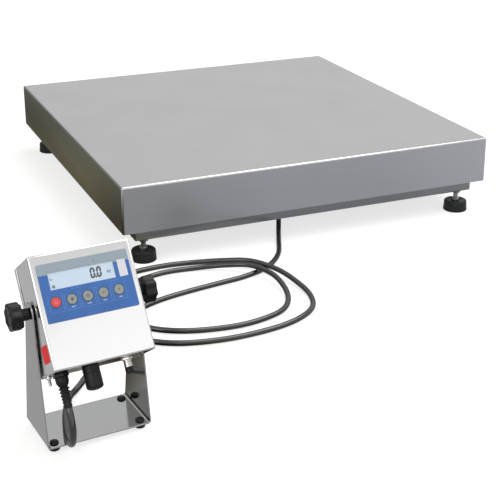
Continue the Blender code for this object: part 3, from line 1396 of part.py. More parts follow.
def main():
    clear_scene()
    build = Builder()
    build.anchor("stand", None, (STAND_X, STAND_Y, FLOOR), (0, 0, STAND_TURN))
    build.anchor("housing", "stand", (0, 0, AXIS_HEIGHT), (-TILT, 0, 0))
    make_weighing_pan(build)
    make_support_pads(build)
    make_upper_frame(build)
    make_load_cell(build)
    make_spacers(build)
    make_lower_frame(build)
    make_overload_stops(build)
    make_spirit_level(build)
    make_feet(build)
    make_platform_gland(build)
    make_stand_bracket(build)
    make_stand_feet(build)
    make_housing_shell(build)
    make_gasket(build)
    make_back_cover(build)
    make_keypad(build)
    make_keys(build)
    make_electronics(build)
    make_knobs(build)
    make_cable_gland(build)
    make_port(build)
    make_round_connector(build)
    make_cords(build)
    bpy.context.view_layer.update()


main()
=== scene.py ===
"""Finishes a bench platform scale: its stainless pan, frames, feet, cable and tilting indicator.
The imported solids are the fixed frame. Every size is in metres, and the origin is the middle of the
pan's top face, with X to the right along the front, Y to the back and Z up.
"""
import json
import math

import bmesh
import bpy
from bpy.props import FloatProperty, FloatVectorProperty, IntProperty, PointerProperty
from mathutils import Matrix, Vector

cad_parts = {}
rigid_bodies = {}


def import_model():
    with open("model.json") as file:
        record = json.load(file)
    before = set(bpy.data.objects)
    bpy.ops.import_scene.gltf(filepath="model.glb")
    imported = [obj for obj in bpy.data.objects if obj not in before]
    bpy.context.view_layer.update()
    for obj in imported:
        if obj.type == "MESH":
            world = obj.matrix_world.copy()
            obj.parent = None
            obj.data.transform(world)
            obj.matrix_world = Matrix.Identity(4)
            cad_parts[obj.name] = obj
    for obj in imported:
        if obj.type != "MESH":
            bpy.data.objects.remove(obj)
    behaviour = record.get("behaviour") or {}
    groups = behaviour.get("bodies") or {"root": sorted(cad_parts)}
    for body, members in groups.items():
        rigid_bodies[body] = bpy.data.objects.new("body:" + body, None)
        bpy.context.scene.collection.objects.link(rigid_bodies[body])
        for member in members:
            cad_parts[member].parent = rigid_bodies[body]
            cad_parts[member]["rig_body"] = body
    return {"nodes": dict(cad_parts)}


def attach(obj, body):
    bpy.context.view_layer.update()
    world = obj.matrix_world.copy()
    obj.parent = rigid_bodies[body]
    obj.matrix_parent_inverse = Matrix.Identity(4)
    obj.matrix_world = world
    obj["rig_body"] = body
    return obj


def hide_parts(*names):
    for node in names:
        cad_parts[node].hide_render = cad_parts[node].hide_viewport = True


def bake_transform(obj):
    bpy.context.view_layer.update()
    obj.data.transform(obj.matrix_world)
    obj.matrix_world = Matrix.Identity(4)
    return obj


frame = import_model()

bl_info = {
    "name": "Platform Scale Finisher",
    "version": (1, 0, 0),
    "blender": (4, 5, 0),
    "location": "3D View > Sidebar > Scale",
    "description": "Dresses a bench platform scale and its indicator, piece by piece",
    "category": "Object",
}

# Heights on the platform, below the pan's top face, and where its feet and gland stand
FLOOR = -0.163
FRAME_BOTTOM = -0.1163
DISC_TOP = -0.141
STUD_SEAT = -0.153
FOOT_X = 0.351
FOOT_Y = 0.369
PLATFORM_GLAND_AT = (-0.049, -0.3337, 0.0)
LEVEL_AT = (-0.262, -0.369, 0.0)
LEVEL_BASE = -0.076
CORNERS = {"fl": (-1, -1), "fr": (1, -1), "bl": (-1, 1), "br": (1, 1)}

# The stand's frame, and the housing's own frame about the tilting axis: X across its face,
# Y into the housing and Z up the face
STAND_PLACE = Vector((-0.618, -0.925, FLOOR))
STAND_TURN = math.radians(5.0)
STAND_FOOT_X = 0.065
STAND_FOOT_Y = 0.035
AXIS_HEIGHT = 0.198
TILT = math.radians(33.6)
STAND = Matrix.Translation(STAND_PLACE) @ Matrix.Rotation(STAND_TURN, 4, "Z")
HOUSING = STAND @ Matrix.Translation((0.0, 0.0, AXIS_HEIGHT)) @ Matrix.Rotation(-TILT, 4, "X")
FACE = -0.041
DISPLAY_SIZE = (0.0944, 0.0229)
DISPLAY_MIDDLE = (-0.00475, 0.03125)
LABEL_SIZE = (0.032, 0.0245)
LABEL_MIDDLE = (-0.074, -0.0215, -0.062)
COVER_BACK = 0.0396
SCREWS_ACROSS = (-0.064, 0.064)
SCREWS_UP = (-0.079, -0.009, 0.061)
OVERLAY_FRONT = -0.0427
OVERLAY_TOP = 0.0565
FITTING_ROOT = -0.0815
FITTING_TOP = -0.0893
GLAND_AT = (-0.0545, -0.001)
PORT_AT = (-0.015, -0.013)
PLUG_AT = (0.0385, -0.013)
EARTH_AT = (-0.067, 0.016)
KNOB_START = 0.0785
KEYS = {
    "key_power": -0.04925,
    "key_print": -0.02645,
    "key_units": -0.00365,
    "key_zero": 0.01915,
    "key_tare": 0.04195,
}
KEY_HEIGHT = 0.002
KEY_WORDS = {"key_print": "PRINT", "key_units": "UNITS", "key_zero": "ZERO", "key_tare": "TARE"}

# The cable's way from the platform's gland over the floor to the indicator's gland
CABLE_ROUTE = (
    (-0.049, -0.3337, -0.1219),
    (-0.049, -0.3337, -0.1299),
    (-0.05, -0.3362, -0.1385),
    (-0.0535, -0.344, -0.1485),
    (-0.0605, -0.359, -0.1555),
    (-0.074, -0.39, -0.1577),
    (-0.107, -0.46, -0.1577),
    (-0.152, -0.508, -0.1577),
    (-0.206, -0.532, -0.1577),
    (-0.262, -0.542, -0.1577),
    (-0.33, -0.554, -0.1577),
    (-0.388, -0.569, -0.1577),
    (-0.43, -0.59, -0.1577),
    (-0.45, -0.624, -0.1577),
    (-0.443, -0.66, -0.1577),
    (-0.413, -0.688, -0.1577),
    (-0.365, -0.708, -0.1577),
    (-0.301, -0.717, -0.1577),
    (-0.247, -0.71, -0.1577),
    (-0.202, -0.69, -0.1577),
    (-0.175, -0.655, -0.157),
    (-0.163, -0.61, -0.153),
    (-0.166, -0.56, -0.1472),
    (-0.188, -0.51, -0.1472),
    (-0.23, -0.478, -0.153),
    (-0.282, -0.46, -0.1575),
    (-0.34, -0.457, -0.1577),
    (-0.398, -0.475, -0.1577),
    (-0.45, -0.515, -0.1577),
    (-0.48, -0.575, -0.1577),
    (-0.486, -0.64, -0.1577),
    (-0.465, -0.7, -0.1577),
    (-0.415, -0.738, -0.1577),
    (-0.341, -0.755, -0.1577),
    (-0.264, -0.753, -0.1577),
    (-0.2, -0.737, -0.1577),
    (-0.152, -0.704, -0.1577),
    (-0.131, -0.655, -0.1577),
    (-0.131, -0.6, -0.155),
    (-0.147, -0.545, -0.1485),
    (-0.178, -0.492, -0.1472),
    (-0.222, -0.457, -0.153),
    (-0.275, -0.434, -0.1575),
    (-0.33, -0.427, -0.1577),
    (-0.395, -0.434, -0.1577),
    (-0.46, -0.46, -0.1577),
    (-0.512, -0.507, -0.1577),
    (-0.54, -0.57, -0.1577),
    (-0.548, -0.64, -0.1577),
    (-0.553, -0.71, -0.1577),
    (-0.57, -0.765, -0.1577),
    (-0.593, -0.802, -0.1572),
    (-0.613, -0.832, -0.154),
    (-0.627, -0.856, -0.1478),
    (-0.637, -0.877, -0.1468),
    (-0.649, -0.913, -0.147),
    (-0.657, -0.947, -0.1475),
    (-0.6605, -0.97, -0.1475),
    (-0.6625, -0.993, -0.143),
    (-0.6638, -1.011, -0.129),
    (-0.6643, -1.018, -0.108),
    (-0.66518, -1.01101, -0.08597),
    (-0.66557, -1.0066, -0.07931),
)

# The room's tones that steel mirrors, against how far a ray goes the dark way, low at the back left
ROOM_DARK_WAY = (-0.6, 0.75, -0.27)
ROOM_TONES = (
    (0.4, (0.625, 0.625, 0.625)),
    (0.58, (0.6, 0.603, 0.61)),
    (0.72, (0.33, 0.325, 0.31)),
    (0.82, (0.09, 0.084, 0.066)),
    (1.0, (0.028, 0.024, 0.016)),
)

# Painted reflection: tones that the floor shows only to mirrored rays, in place of its own pale colour,
# so that steel shows darker surroundings. They stand against how far right they lie. Their places
# shift by FLOOR_LEAN for each metre behind FLOOR_LEANS_FROM, and by STAND_LEAN for each metre before
# STAND_LEANS_FROM.
PAINTED_REFLECTION_TONES = (
    (-0.8, (0.385, 0.385, 0.385)),
    (-0.72, (0.29, 0.29, 0.28)),
    (-0.66, (0.1, 0.088, 0.07)),
    (-0.62, (0.026, 0.019, 0.011)),
    (-0.56, (0.012, 0.008, 0.003)),
    (-0.5, (0.01, 0.006, 0.002)),
    (-0.465, (0.02, 0.015, 0.006)),
    (-0.435, (0.085, 0.075, 0.036)),
    (-0.405, (0.27, 0.258, 0.15)),
    (-0.375, (0.4, 0.4, 0.3)),
    (-0.34, (0.385, 0.391, 0.405)),
    (-0.2, (0.365, 0.375, 0.4)),
    (0.2, (0.385, 0.395, 0.435)),
    (0.6, (0.55, 0.56, 0.605)),
)
FLOOR_LEAN = 0.15
FLOOR_LEANS_FROM = -0.2
STAND_LEAN = 0.8
STAND_LEANS_FROM = -0.75

# The lamps' colour, where each lamp stands, and how wide it is
LAMP_COLOUR = (0.965, 0.98, 1.0)
LAMPS = {
    "key_lamp": ((1.2, -0.7, 3.3), 3.4),
    "fill_lamp": ((-2.6, -2.4, 1.7), 2.8),
    "face_lamp": ((0.315, -2.97, 0.82), 1.7),
}

# How strongly plastics, rubbers and inks shine
DULL_SHINE = 0.25

# The margin that large flats get, so that the bends beside them don't curve their shading
FLAT_MARGIN = 0.0006

# Edges that bend more than this many degrees stay sharp, on turned pieces and on folded sheet
TURNED = 35.0
FOLDED = 50.0

STAND_UP = Matrix.Rotation(math.pi / 2, 4, "X")
WHITE = (1.0, 1.0, 1.0)
RUBBER_BLACK = (0.016, 0.017, 0.018)


def colour_setting(name, description, default):
    """A colour that a user may change."""
    return FloatVectorProperty(
        name=name, description=description, default=default, subtype="COLOR", min=0.0, max=1.0
    )


def length_setting(name, description, default, low, high, precision=4):
    """A length that a user may change between two limits."""
    return FloatProperty(
        name=name,
        description=description,
        default=default,
        min=low,
        max=high,
        unit="LENGTH",
        precision=precision,
    )


def power_setting(name, description, default):
    """A lamp's power."""
    return FloatProperty(name=name, description=description, default=default, min=0.0, unit="POWER")


def angle_setting(name, description, degrees):
    """An angle that a user may change."""
    return FloatProperty(
        name=name, description=description, default=math.radians(degrees), subtype="ANGLE"
    )


class StageSettings(bpy.types.PropertyGroup):
    """The camera, the lamps and the floor."""

    camera_place: FloatVectorProperty(
        name="Camera Place",
        description="Where the camera stands",
        default=(-0.996, -2.4134, 0.7509),
        subtype="TRANSLATION",
        unit="LENGTH",
        precision=4,
    )
    camera_yaw: angle_setting(
        "Camera Yaw", "How far the camera turns to the right of straight back", 23.015
    )
    camera_pitch: angle_setting("Camera Pitch", "How far the camera looks down", 20.36)
    focal_length: FloatProperty(
        name="Focal Length",
        description="The lens's focal length, in millimetres on a 36 mm sensor",
        default=86.16,
        min=10.0,
    )
    shift: FloatProperty(
        name="Vertical Shift",
        description="The lens's shift, as a share of the sensor",
        default=-0.1,
    )
    world_strength: FloatProperty(
        name="Sky Light",
        description="The strength of the even light from all round",
        default=0.45,
        min=0.0,
    )
    sky_colour: colour_setting(
        "Sky Colour", "The colour of the even light from all round", (1.0, 0.96, 0.88)
    )
    key_power: power_setting("Key Lamp", "The power of the large soft lamp above the right front", 112.0)
    fill_power: power_setting("Fill Lamp", "The power of the soft lamp at the left front", 38.0)
    face_power: power_setting(
        "Face Lamp", "The power of the low wide lamp that the indicator's lower face mirrors", 4.3
    )
    floor_colour: colour_setting("Floor Colour", "The colour of the floor", (0.45, 0.45, 0.45))
    floor_glow: FloatProperty(
        name="Floor Whiteness",
        description="How much white the floor shows of its own, which fades the shadows",
        default=0.7,
        min=0.0,
        max=1.0,
    )
    mirrored_strength: FloatProperty(
        name="Mirrored Room",
        description="How bright the room is that the metal mirrors, against the white behind it",
        default=1.3,
        min=0.0,
    )


class CableSettings(bpy.types.PropertyGroup):
    """The cable between the platform and the indicator."""

    diameter: length_setting("Diameter", "The cable's thickness over its jacket", 0.01, 0.004, 0.012)
    jacket_colour: colour_setting(
        "Jacket Colour", "The colour of the cable's jacket", (0.015, 0.0135, 0.013)
    )


class SteelSettings(bpy.types.PropertyGroup):
    """The sheet and tube of the platform, the stand and the housing."""

    pan_colour: colour_setting(
        "Pan Colour", "The colour of the satin stainless sheet", (0.55, 0.55, 0.555)
    )
    frame_colour: colour_setting("Frame Colour", "The colour of the frame's tube", (0.29, 0.295, 0.29))
    stand_colour: colour_setting("Stand Colour", "The colour of the polished stand", (0.48, 0.485, 0.485))
    housing_colour: colour_setting(
        "Housing Colour", "The colour of the housing's brushed sheet", (0.79, 0.785, 0.78)
    )
    edge_width: length_setting(
        "Broken Edge", "The width of the broken edges on sheet and tube", 0.0004, 0.0, 0.001, 5
    )


class FeetSettings(bpy.types.PropertyGroup):
    """The levelling feet and their threads."""

    thread_pitch: length_setting(
        "Thread Pitch", "The rise of a foot's thread in one turn", 0.0015, 0.001, 0.003
    )
    rubber_colour: colour_setting(
        "Rubber Colour", "The colour of the moulded discs", (0.018, 0.021, 0.02)
    )


class KeypadSettings(bpy.types.PropertyGroup):
    """The indicator's printed overlay, display and keys."""

    overlay_colour: colour_setting(
        "Overlay Colour", "The colour of the overlay's main field", (0.034, 0.13, 0.4)
    )
    band_colour: colour_setting(
        "Band Colour", "The colour of the band along the overlay's top", (0.285, 0.345, 0.405)
    )
    band_height: length_setting(
        "Band Height", "The height of the band along the overlay's top", 0.0155, 0.0, 0.03
    )
    display_colour: colour_setting(
        "Display Colour", "The colour of the display behind its digits", (0.5, 0.6, 0.715)
    )
    power_colour: colour_setting(
        "Power Key Colour", "The colour of the key that turns the indicator on", (0.68, 0.085, 0.09)
    )
    key_colour: colour_setting("Key Colour", "The colour of the other keys", (0.3, 0.31, 0.3))
    digit_height: length_setting(
        "Digit Height", "The height of the display's digits", 0.0152, 0.005, 0.02
    )
    print_thickness: length_setting(
        "Ink Thickness", "How far printed marks stand out of the surface", 0.00008, 0.00002, 0.0003, 6
    )


class FittingSettings(bpy.types.PropertyGroup):
    """The knobs and what hangs under the housing."""

    plastic_colour: colour_setting(
        "Plastic Colour", "The colour of the black moulded plastic", (0.008, 0.0085, 0.0085)
    )
    nickel_colour: colour_setting(
        "Nickel Colour", "The colour of the plated connector", (0.52, 0.5, 0.46)
    )
    screw_head: length_setting(
        "Screw Head", "The diameter of the back cover's screw heads", 0.007, 0.004, 0.01
    )
    sides: IntProperty(
        name="Sides",
        description="The number of sides of a turned piece",
        default=64,
        min=24,
        max=128,
    )


# Materials


def fill(tree, node, inputs):
    """Gives a node's inputs their values, colours or other nodes' outputs."""
    for name, value in inputs.items():
        socket = node.inputs[name]
        if isinstance(value, bpy.types.NodeSocket):
            tree.links.new(value, socket)
        elif socket.type == "RGBA":
            socket.default_value = (*value, 1.0)
        else:
            socket.default_value = value


def new_node(tree, kind, inputs):
    """A new node of a kind, with its inputs given."""
    node = tree.nodes.new(f"ShaderNode{kind}")
    fill(tree, node, inputs)
    return node


def new_finish(name, colour, roughness, metallic=0.0):
    """A material with these even values on its shader, its node tree and the shader itself."""
    material = bpy.data.materials.new(name)
    material.use_nodes = True
    tree = material.node_tree
    shader = tree.nodes["Principled BSDF"]
    fill(tree, shader, {"Base Color": colour, "Roughness": roughness, "Metallic": metallic})
    return material, tree, shader


def surface_place(tree, scale=(1.0, 1.0, 1.0), place=(0, 0, 0), turn=(0, 0, 0), kind="POINT"):
    """The object's coordinates, stretched, moved and turned for a pattern."""
    coordinates = new_node(tree, "TexCoord", {})
    mapping = tree.nodes.new("ShaderNodeMapping")
    mapping.vector_type = kind
    spot = coordinates.outputs["Object"]
    fill(tree, mapping, {"Vector": spot, "Location": place, "Rotation": turn, "Scale": scale})
    return mapping.outputs["Vector"]


def cloud(tree, place, size, detail=2.0, roughness=0.5):
    """A noise pattern whose patches are about that many metres wide."""
    inputs = {"Vector": place, "Scale": 1.0 / size, "Detail": detail, "Roughness": roughness}
    return new_node(tree, "TexNoise", inputs).outputs["Fac"]


def stretched(tree, pattern, low, high, from_low=0.3, from_high=0.7):
    """A pattern's values mapped to a range."""
    inputs = {"From Min": from_low, "From Max": from_high, "To Min": low, "To Max": high}
    return new_node(tree, "MapRange", {"Value": pattern, **inputs}).outputs["Result"]


def arithmetic(tree, operation, first, second):
    """A sum on two values, each a number or a pattern."""
    node = new_node(tree, "Math", {0: first, 1: second})
    node.operation = operation
    return node.outputs["Value"]


def blended(tree, share, first, second):
    """Two colours, or what other patterns give, mixed by a share."""
    node = tree.nodes.new("ShaderNodeMix")
    node.data_type = "RGBA"
    slots = [at for at, socket in enumerate(node.inputs) if socket.type == "RGBA"]
    fill(tree, node, {"Factor": share, slots[0]: first, slots[1]: second})
    return next(socket for socket in node.outputs if socket.type == "RGBA")


def toned(tree, value, tones):
    """Colours along a ramp, each given with the value that it stands at."""
    first, last = tones[0][0], tones[-1][0]
    ramp = new_node(tree, "ValToRGB", {"Fac": stretched(tree, value, 0.0, 1.0, first, last)})
    steps = ramp.color_ramp.elements
    while len(steps) < len(tones):
        steps.new(0.5)
    for step, (at, colour) in zip(steps, tones):
        step.position = (at - first) / (last - first)
        step.color = (*colour, 1.0)
    return ramp.outputs["Color"]


def shaded(colour, share):
    """A colour made darker or lighter."""
    return tuple(min(1.0, part * share) for part in colour)


def mottled(tree, colour, pattern, low, high):
    """A colour that a pattern makes darker and lighter, between two shares."""
    share = stretched(tree, pattern, 0.0, 1.0)
    return blended(tree, share, shaded(colour, low), shaded(colour, high))


def raised(tree, shader, height, depth):
    """A relief of that depth in metres on the shader's surface."""
    bump = new_node(tree, "Bump", {"Distance": depth, "Height": height})
    fill(tree, shader, {"Normal": bump.outputs["Normal"]})


def brushed_sheet(name, colour, roughness, grain, spread, relief, metallic=1.0, turn=(0, 0, 0)):
    """Ground or brushed sheet: streaks along one axis, with soft patches and light wear over them.
    The grain is a streak's size along X, Y and Z."""
    material, tree, shader = new_finish(name, colour, roughness, metallic)
    along = surface_place(tree, [1.0 / size for size in grain], turn=turn)
    streaks = cloud(tree, along, 1.0, 4.0, 0.6)
    patches = cloud(tree, surface_place(tree), 0.16, 3.0)
    tone = mottled(tree, colour, streaks, 1.0 - spread, 1.0 + spread)
    worn = blended(tree, stretched(tree, patches, 0.0, 0.5), tone, shaded(colour, 0.9))
    rough = stretched(tree, streaks, roughness - spread, roughness + spread)
    rough = arithmetic(tree, "ADD", rough, stretched(tree, patches, -0.02, 0.02))
    fill(tree, shader, {"Base Color": worn, "Roughness": rough})
    raised(tree, shader, streaks, relief)
    return material


def speckled(name, colour, roughness, metallic, speck, spread, relief):
    """A moulded, cast or plated surface: fine specks with soft patches."""
    material, tree, shader = new_finish(name, colour, roughness, metallic)
    even = surface_place(tree)
    specks = cloud(tree, even, speck, 3.0, 0.6)
    patches = cloud(tree, even, speck * 30)
    tone = mottled(tree, colour, specks, 1.0 - spread, 1.0 + spread)
    worn = blended(tree, stretched(tree, patches, 0.0, 0.6), tone, shaded(colour, 1.25))
    rough = stretched(tree, patches, roughness - 0.06, roughness + 0.08)
    fill(tree, shader, {"Base Color": worn, "Roughness": rough})
    raised(tree, shader, specks, relief)
    return material, tree, shader


def moulded(name, colour, roughness, speck=0.0008, spread=0.12, relief=0.00003, shine=DULL_SHINE):
    """Moulded plastic or rubber."""
    material, tree, shader = speckled(name, colour, roughness, 0.0, speck, spread, relief)
    fill(tree, shader, {"Specular IOR Level": shine})
    return material


def plated(name, colour, roughness, speck=0.001, spread=0.06, relief=0.00001, metallic=0.9):
    """Plated steel or turned metal."""
    return speckled(name, colour, roughness, metallic, speck, spread, relief)[0]


def printed_overlay(colours):
    """The overlay's film: a pale band along its top over a blue field, with a fine matt texture."""
    material, tree, shader = new_finish("overlay_film", colours.overlay_colour, 0.42)
    turn = HOUSING.to_euler("XYZ")
    own = surface_place(tree, place=HOUSING.to_translation(), turn=turn, kind="TEXTURE")
    apart = new_node(tree, "SeparateXYZ", {"Vector": own})
    edge = OVERLAY_TOP - colours.band_height
    above = arithmetic(tree, "GREATER_THAN", apart.outputs["Z"], edge)
    grain = cloud(tree, own, 0.0006)
    patches = cloud(tree, own, 0.03)
    field = mottled(tree, colours.overlay_colour, patches, 0.92, 1.08)
    printed = blended(tree, above, field, colours.band_colour)
    rough = stretched(tree, patches, 0.36, 0.46)
    fill(tree, shader, {"Base Color": printed, "Roughness": rough})
    raised(tree, shader, grain, 0.00002)
    return material


def clear_window(name):
    """A clear film with a soft gloss, through which the display shows."""
    material, tree, shader = new_finish(name, (0.8, 0.88, 0.95), 0.12)
    ripple = cloud(tree, surface_place(tree), 0.02)
    raised(tree, shader, ripple, 0.00004)
    fill(tree, shader, {"Alpha": 0.06, "Roughness": stretched(tree, ripple, 0.08, 0.18)})
    return material


def lit_display(name, colour):
    """The display's pale glass. Its faint glow stands partly for a backlight and partly for painted light,
    which lifts it out of the shade behind its window.
    """
    material, tree, shader = new_finish(name, colour, 0.35)
    tone = mottled(tree, colour, cloud(tree, surface_place(tree), 0.05), 0.94, 1.04)
    # The emission is partly backlight and partly painted light against the shade behind the window
    fill(tree, shader, {"Base Color": tone, "Emission Color": tone, "Emission Strength": 0.18})
    return material


def circuit_board(name, colour):
    """Green lacquer over fine tracks."""
    material, tree, shader = new_finish(name, colour, 0.3)
    tones = {"Color1": shaded(colour, 0.8), "Color2": shaded(colour, 1.2), "Mortar": shaded(colour, 1.6)}
    tracks = new_node(tree, "TexBrick", {"Vector": surface_place(tree), "Scale": 180.0, **tones})
    fill(tree, shader, {"Base Color": tracks.outputs["Color"]})
    raised(tree, shader, tracks.outputs["Fac"], 0.00003)
    return material


def inked(name, colour):
    """Printing ink, slightly uneven in tone."""
    material, tree, shader = new_finish(name, colour, 0.5)
    tone = mottled(tree, colour, cloud(tree, surface_place(tree), 0.002), 0.93, 1.07)
    fill(tree, shader, {"Base Color": tone, "Specular IOR Level": DULL_SHINE})
    return material


# Meshes


def finish_piece(
    name, bm, material, body=None, place=None, nodes=(), smooth=TURNED, normals=True
):
    """A finished piece at the origin, with its place in its mesh, that rides on a body of the part."""
    if place is not None:
        bm.transform(place)
    if normals:
        bmesh.ops.recalc_face_normals(bm, faces=bm.faces[:])
    mesh = bpy.data.meshes.new(name)
    bm.to_mesh(mesh)
    bm.free()
    mesh.materials.append(material)
    mesh.shade_smooth()
    mesh.set_sharp_from_angle(angle=math.radians(smooth))
    piece = bpy.data.objects.new(name, mesh)
    bpy.context.scene.collection.objects.link(piece)
    if body:
        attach(piece, body)
    if nodes:
        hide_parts(*nodes)
    return piece


def housing_piece(name, bm, material, nodes=(), place=HOUSING, body="housing"):
    """A finished piece made in the housing's own frame, or in one that tilts with it."""
    return finish_piece(name, bm, material, body, place, nodes)


def finished_node(node, material, smooth=40.0, edge=0.0, flat_area=None):
    """A copy of one of the part's own solids, with its facets merged, its bends shaded smooth and its
    edges broken. It stands for that solid. Flats larger than flat_area get a narrow margin."""
    source = frame["nodes"][node]
    bm = bmesh.new()
    bm.from_mesh(source.data)
    bmesh.ops.remove_doubles(bm, verts=bm.verts[:], dist=1e-6)
    facet = math.radians(0.1)
    bmesh.ops.dissolve_limit(bm, angle_limit=facet, verts=bm.verts[:], edges=bm.edges[:])
    if flat_area is not None:
        flats = [face for face in bm.faces if face.calc_area() > flat_area]
        bmesh.ops.inset_region(bm, faces=flats, thickness=FLAT_MARGIN, use_even_offset=True)
    piece = finish_piece(
        f"{node}_finished", bm, material, source["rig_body"], None, (node,), smooth, False
    )
    if edge > 0.0:
        bevel = piece.modifiers.new("broken_edge", "BEVEL")
        bevel.width = edge
        bevel.segments = 2
        bevel.limit_method = "ANGLE"
        bevel.angle_limit = math.radians(smooth)
        bevel.use_clamp_overlap = True
        bevel.harden_normals = True


def painted_node(node, material):
    """One of the part's own solids, left as it is, with a better material."""
    mesh = frame["nodes"][node].data
    mesh.materials.clear()
    mesh.materials.append(material)


def spun(bm, geom, angle, steps, rise=0.0, closed=True):
    """Turns points and edges or faces about Z, with that much rise at each step."""
    bmesh.ops.spin(
        bm,
        geom=geom,
        cent=(0, 0, 0),
        axis=(0, 0, 1),
        dvec=(0, 0, rise),
        angle=angle,
        steps=steps,
        use_merge=closed,
    )


def turned(outline, sides):
    """A solid of revolution about Z from its half outline, which runs from axis to axis."""
    bm = bmesh.new()
    verts = [bm.verts.new((x, 0.0, z)) for x, z in outline]
    edges = [bm.edges.new(pair) for pair in zip(verts, verts[1:])]
    spun(bm, verts + edges, math.tau, sides)
    bmesh.ops.remove_doubles(bm, verts=bm.verts[:], dist=1e-7)
    return bm


def arc(x, z, radius, first, last, steps, rise=None):
    """Points on a round about (x, z), from one angle to another in degrees. Its rise is given where
    that isn't its radius."""
    height = radius if rise is None else rise
    angles = [math.radians(first + (last - first) * k / steps) for k in range(steps + 1)]
    return [(x + radius * math.cos(angle), z + height * math.sin(angle)) for angle in angles]


def above(level, *points):
    """Points of an outline whose heights are counted from a level."""
    return [(x, level + z) for x, z in points]


def rounded(bm, geom, offset, segments, affect="EDGES"):
    """Rounds edges, or corners where affect says so."""
    return bmesh.ops.bevel(
        bm, geom=geom, offset=offset, segments=segments, profile=0.5, affect=affect, material=-1
    )


def level_edges(edges):
    """Those of the edges that lie level."""
    level = 0.0001
    return [edge for edge in edges if abs(edge.verts[0].co.z - edge.verts[1].co.z) < level]


def faces_at(verts):
    """The faces that meet at these points."""
    return list({face for vert in verts for face in vert.link_faces})


def thicken(bm, faces, thickness):
    """Gives flat faces in XY a thickness, and gives all the points of what it made."""
    made = bmesh.ops.extrude_face_region(bm, geom=faces)
    top = [item for item in made["geom"] if isinstance(item, bmesh.types.BMVert)]
    bmesh.ops.translate(bm, vec=(0, 0, thickness), verts=top)
    return list({vert for face in faces for vert in face.verts} | set(top))


def thicken_and_stand(bm, faces, thickness, centre):
    """Gives flat faces in XY a thickness, and stands them up to face the housing's front."""
    verts = thicken(bm, faces, thickness)
    bmesh.ops.transform(bm, matrix=Matrix.Translation(centre) @ STAND_UP, verts=verts)


def sheet(bm, width, height, radius=0.0):
    """Adds a flat sheet in XY, with its corners rounded where a radius is given."""
    verts = bmesh.ops.create_grid(bm, x_segments=1, y_segments=1, size=0.5)["verts"]
    bmesh.ops.scale(bm, vec=(width, height, 1.0), verts=verts)
    if radius > 0.0:
        verts = rounded(bm, verts, radius, 4, "VERTICES")["verts"]
    return faces_at(verts)


def plate(bm, width, height, thickness, centre, radius=0.0):
    """Adds a plate that faces the housing's front, whose back is on the centre's Y."""
    thicken_and_stand(bm, sheet(bm, width, height, radius), thickness, centre)


def disc(bm, radius, thickness, centre, sides):
    """Adds a disc that faces the housing's front."""
    made = bmesh.ops.create_circle(bm, cap_ends=True, segments=sides, radius=radius)
    thicken_and_stand(bm, faces_at(made["verts"]), thickness, centre)


def ring(bm, outer, width, thickness, centre, sides, gap=0.0):
    """Adds a flat printed ring, which may leave a gap of so many degrees at its top."""
    others = set(bm.faces)
    first = math.radians(90.0 + gap / 2)
    start = Vector((math.cos(first), math.sin(first), 0.0))
    verts = [bm.verts.new(start * (outer - width)), bm.verts.new(start * outer)]
    geom = [*verts, bm.edges.new(verts)]
    spun(bm, geom, math.tau - math.radians(gap), sides, closed=gap == 0.0)
    thicken_and_stand(bm, [face for face in bm.faces if face not in others], thickness, centre)


def segment_bar(bm, length, width, thickness, centre, upright, lean):
    """Adds one bar of a digit: pointed at both ends, upright or flat, and leaning a little."""
    corner = width / 2 / math.cos(math.pi / 6)
    verts = bmesh.ops.create_circle(bm, cap_ends=True, segments=6, radius=corner)["verts"]
    if upright:
        bmesh.ops.transform(bm, matrix=Matrix.Rotation(math.pi / 2, 4, "Z"), verts=verts)
    way = 1 if upright else 0
    slope, middle = lean
    for vert in verts:
        if abs(vert.co[way]) > 1e-6:
            vert.co[way] += math.copysign((length - width) / 2, vert.co[way])
        vert.co.x += (vert.co.y + centre[2] - middle) * slope
    thicken_and_stand(bm, faces_at(verts), thickness, centre)


def meshed(curve):
    """The surface of a curve or a text, with its seams joined. The curve itself is removed."""
    holder = bpy.data.objects.new("line", curve)
    bpy.context.scene.collection.objects.link(holder)
    bpy.context.view_layer.update()
    shown = holder.evaluated_get(bpy.context.evaluated_depsgraph_get())
    mesh = bpy.data.meshes.new_from_object(shown)
    bpy.data.objects.remove(holder)
    bpy.data.curves.remove(curve)
    bm = bmesh.new()
    bm.from_mesh(mesh)
    bpy.data.meshes.remove(mesh)
    bmesh.ops.remove_doubles(bm, verts=bm.verts[:], dist=1e-7)
    return bm


def printed_words(text, height, thickness, centre):
    """A short generic mark as a thin solid that faces the housing's front."""
    curve = bpy.data.curves.new("words", "FONT")
    curve.body = text
    curve.size = height
    curve.extrude = thickness / 2
    curve.offset = height * 0.02
    curve.align_x = "CENTER"
    curve.align_y = "CENTER"
    curve.resolution_u = 3
    bm = meshed(curve)
    bm.transform(Matrix.Translation(Vector(centre) - Vector((0, thickness / 2, 0))) @ STAND_UP)
    return bm


def added(bm, other):
    """Adds another bmesh's faces to a bmesh."""
    mesh = bpy.data.meshes.new("added")
    other.to_mesh(mesh)
    other.free()
    bm.from_mesh(mesh)
    bpy.data.meshes.remove(mesh)


def hexagon_nut(bm, flats, height, top):
    """Adds a hexagon that hangs below its top, with its corners' rims broken."""
    corner = flats / 2 / math.cos(math.pi / 6)
    made = bmesh.ops.create_cone(
        bm, cap_ends=True, segments=6, radius1=corner, radius2=corner, depth=height
    )
    verts = made["verts"]
    bmesh.ops.translate(bm, vec=(0, 0, top - height / 2), verts=verts)
    rounded(bm, level_edges({edge for vert in verts for edge in vert.link_edges}), 0.0006, 2)


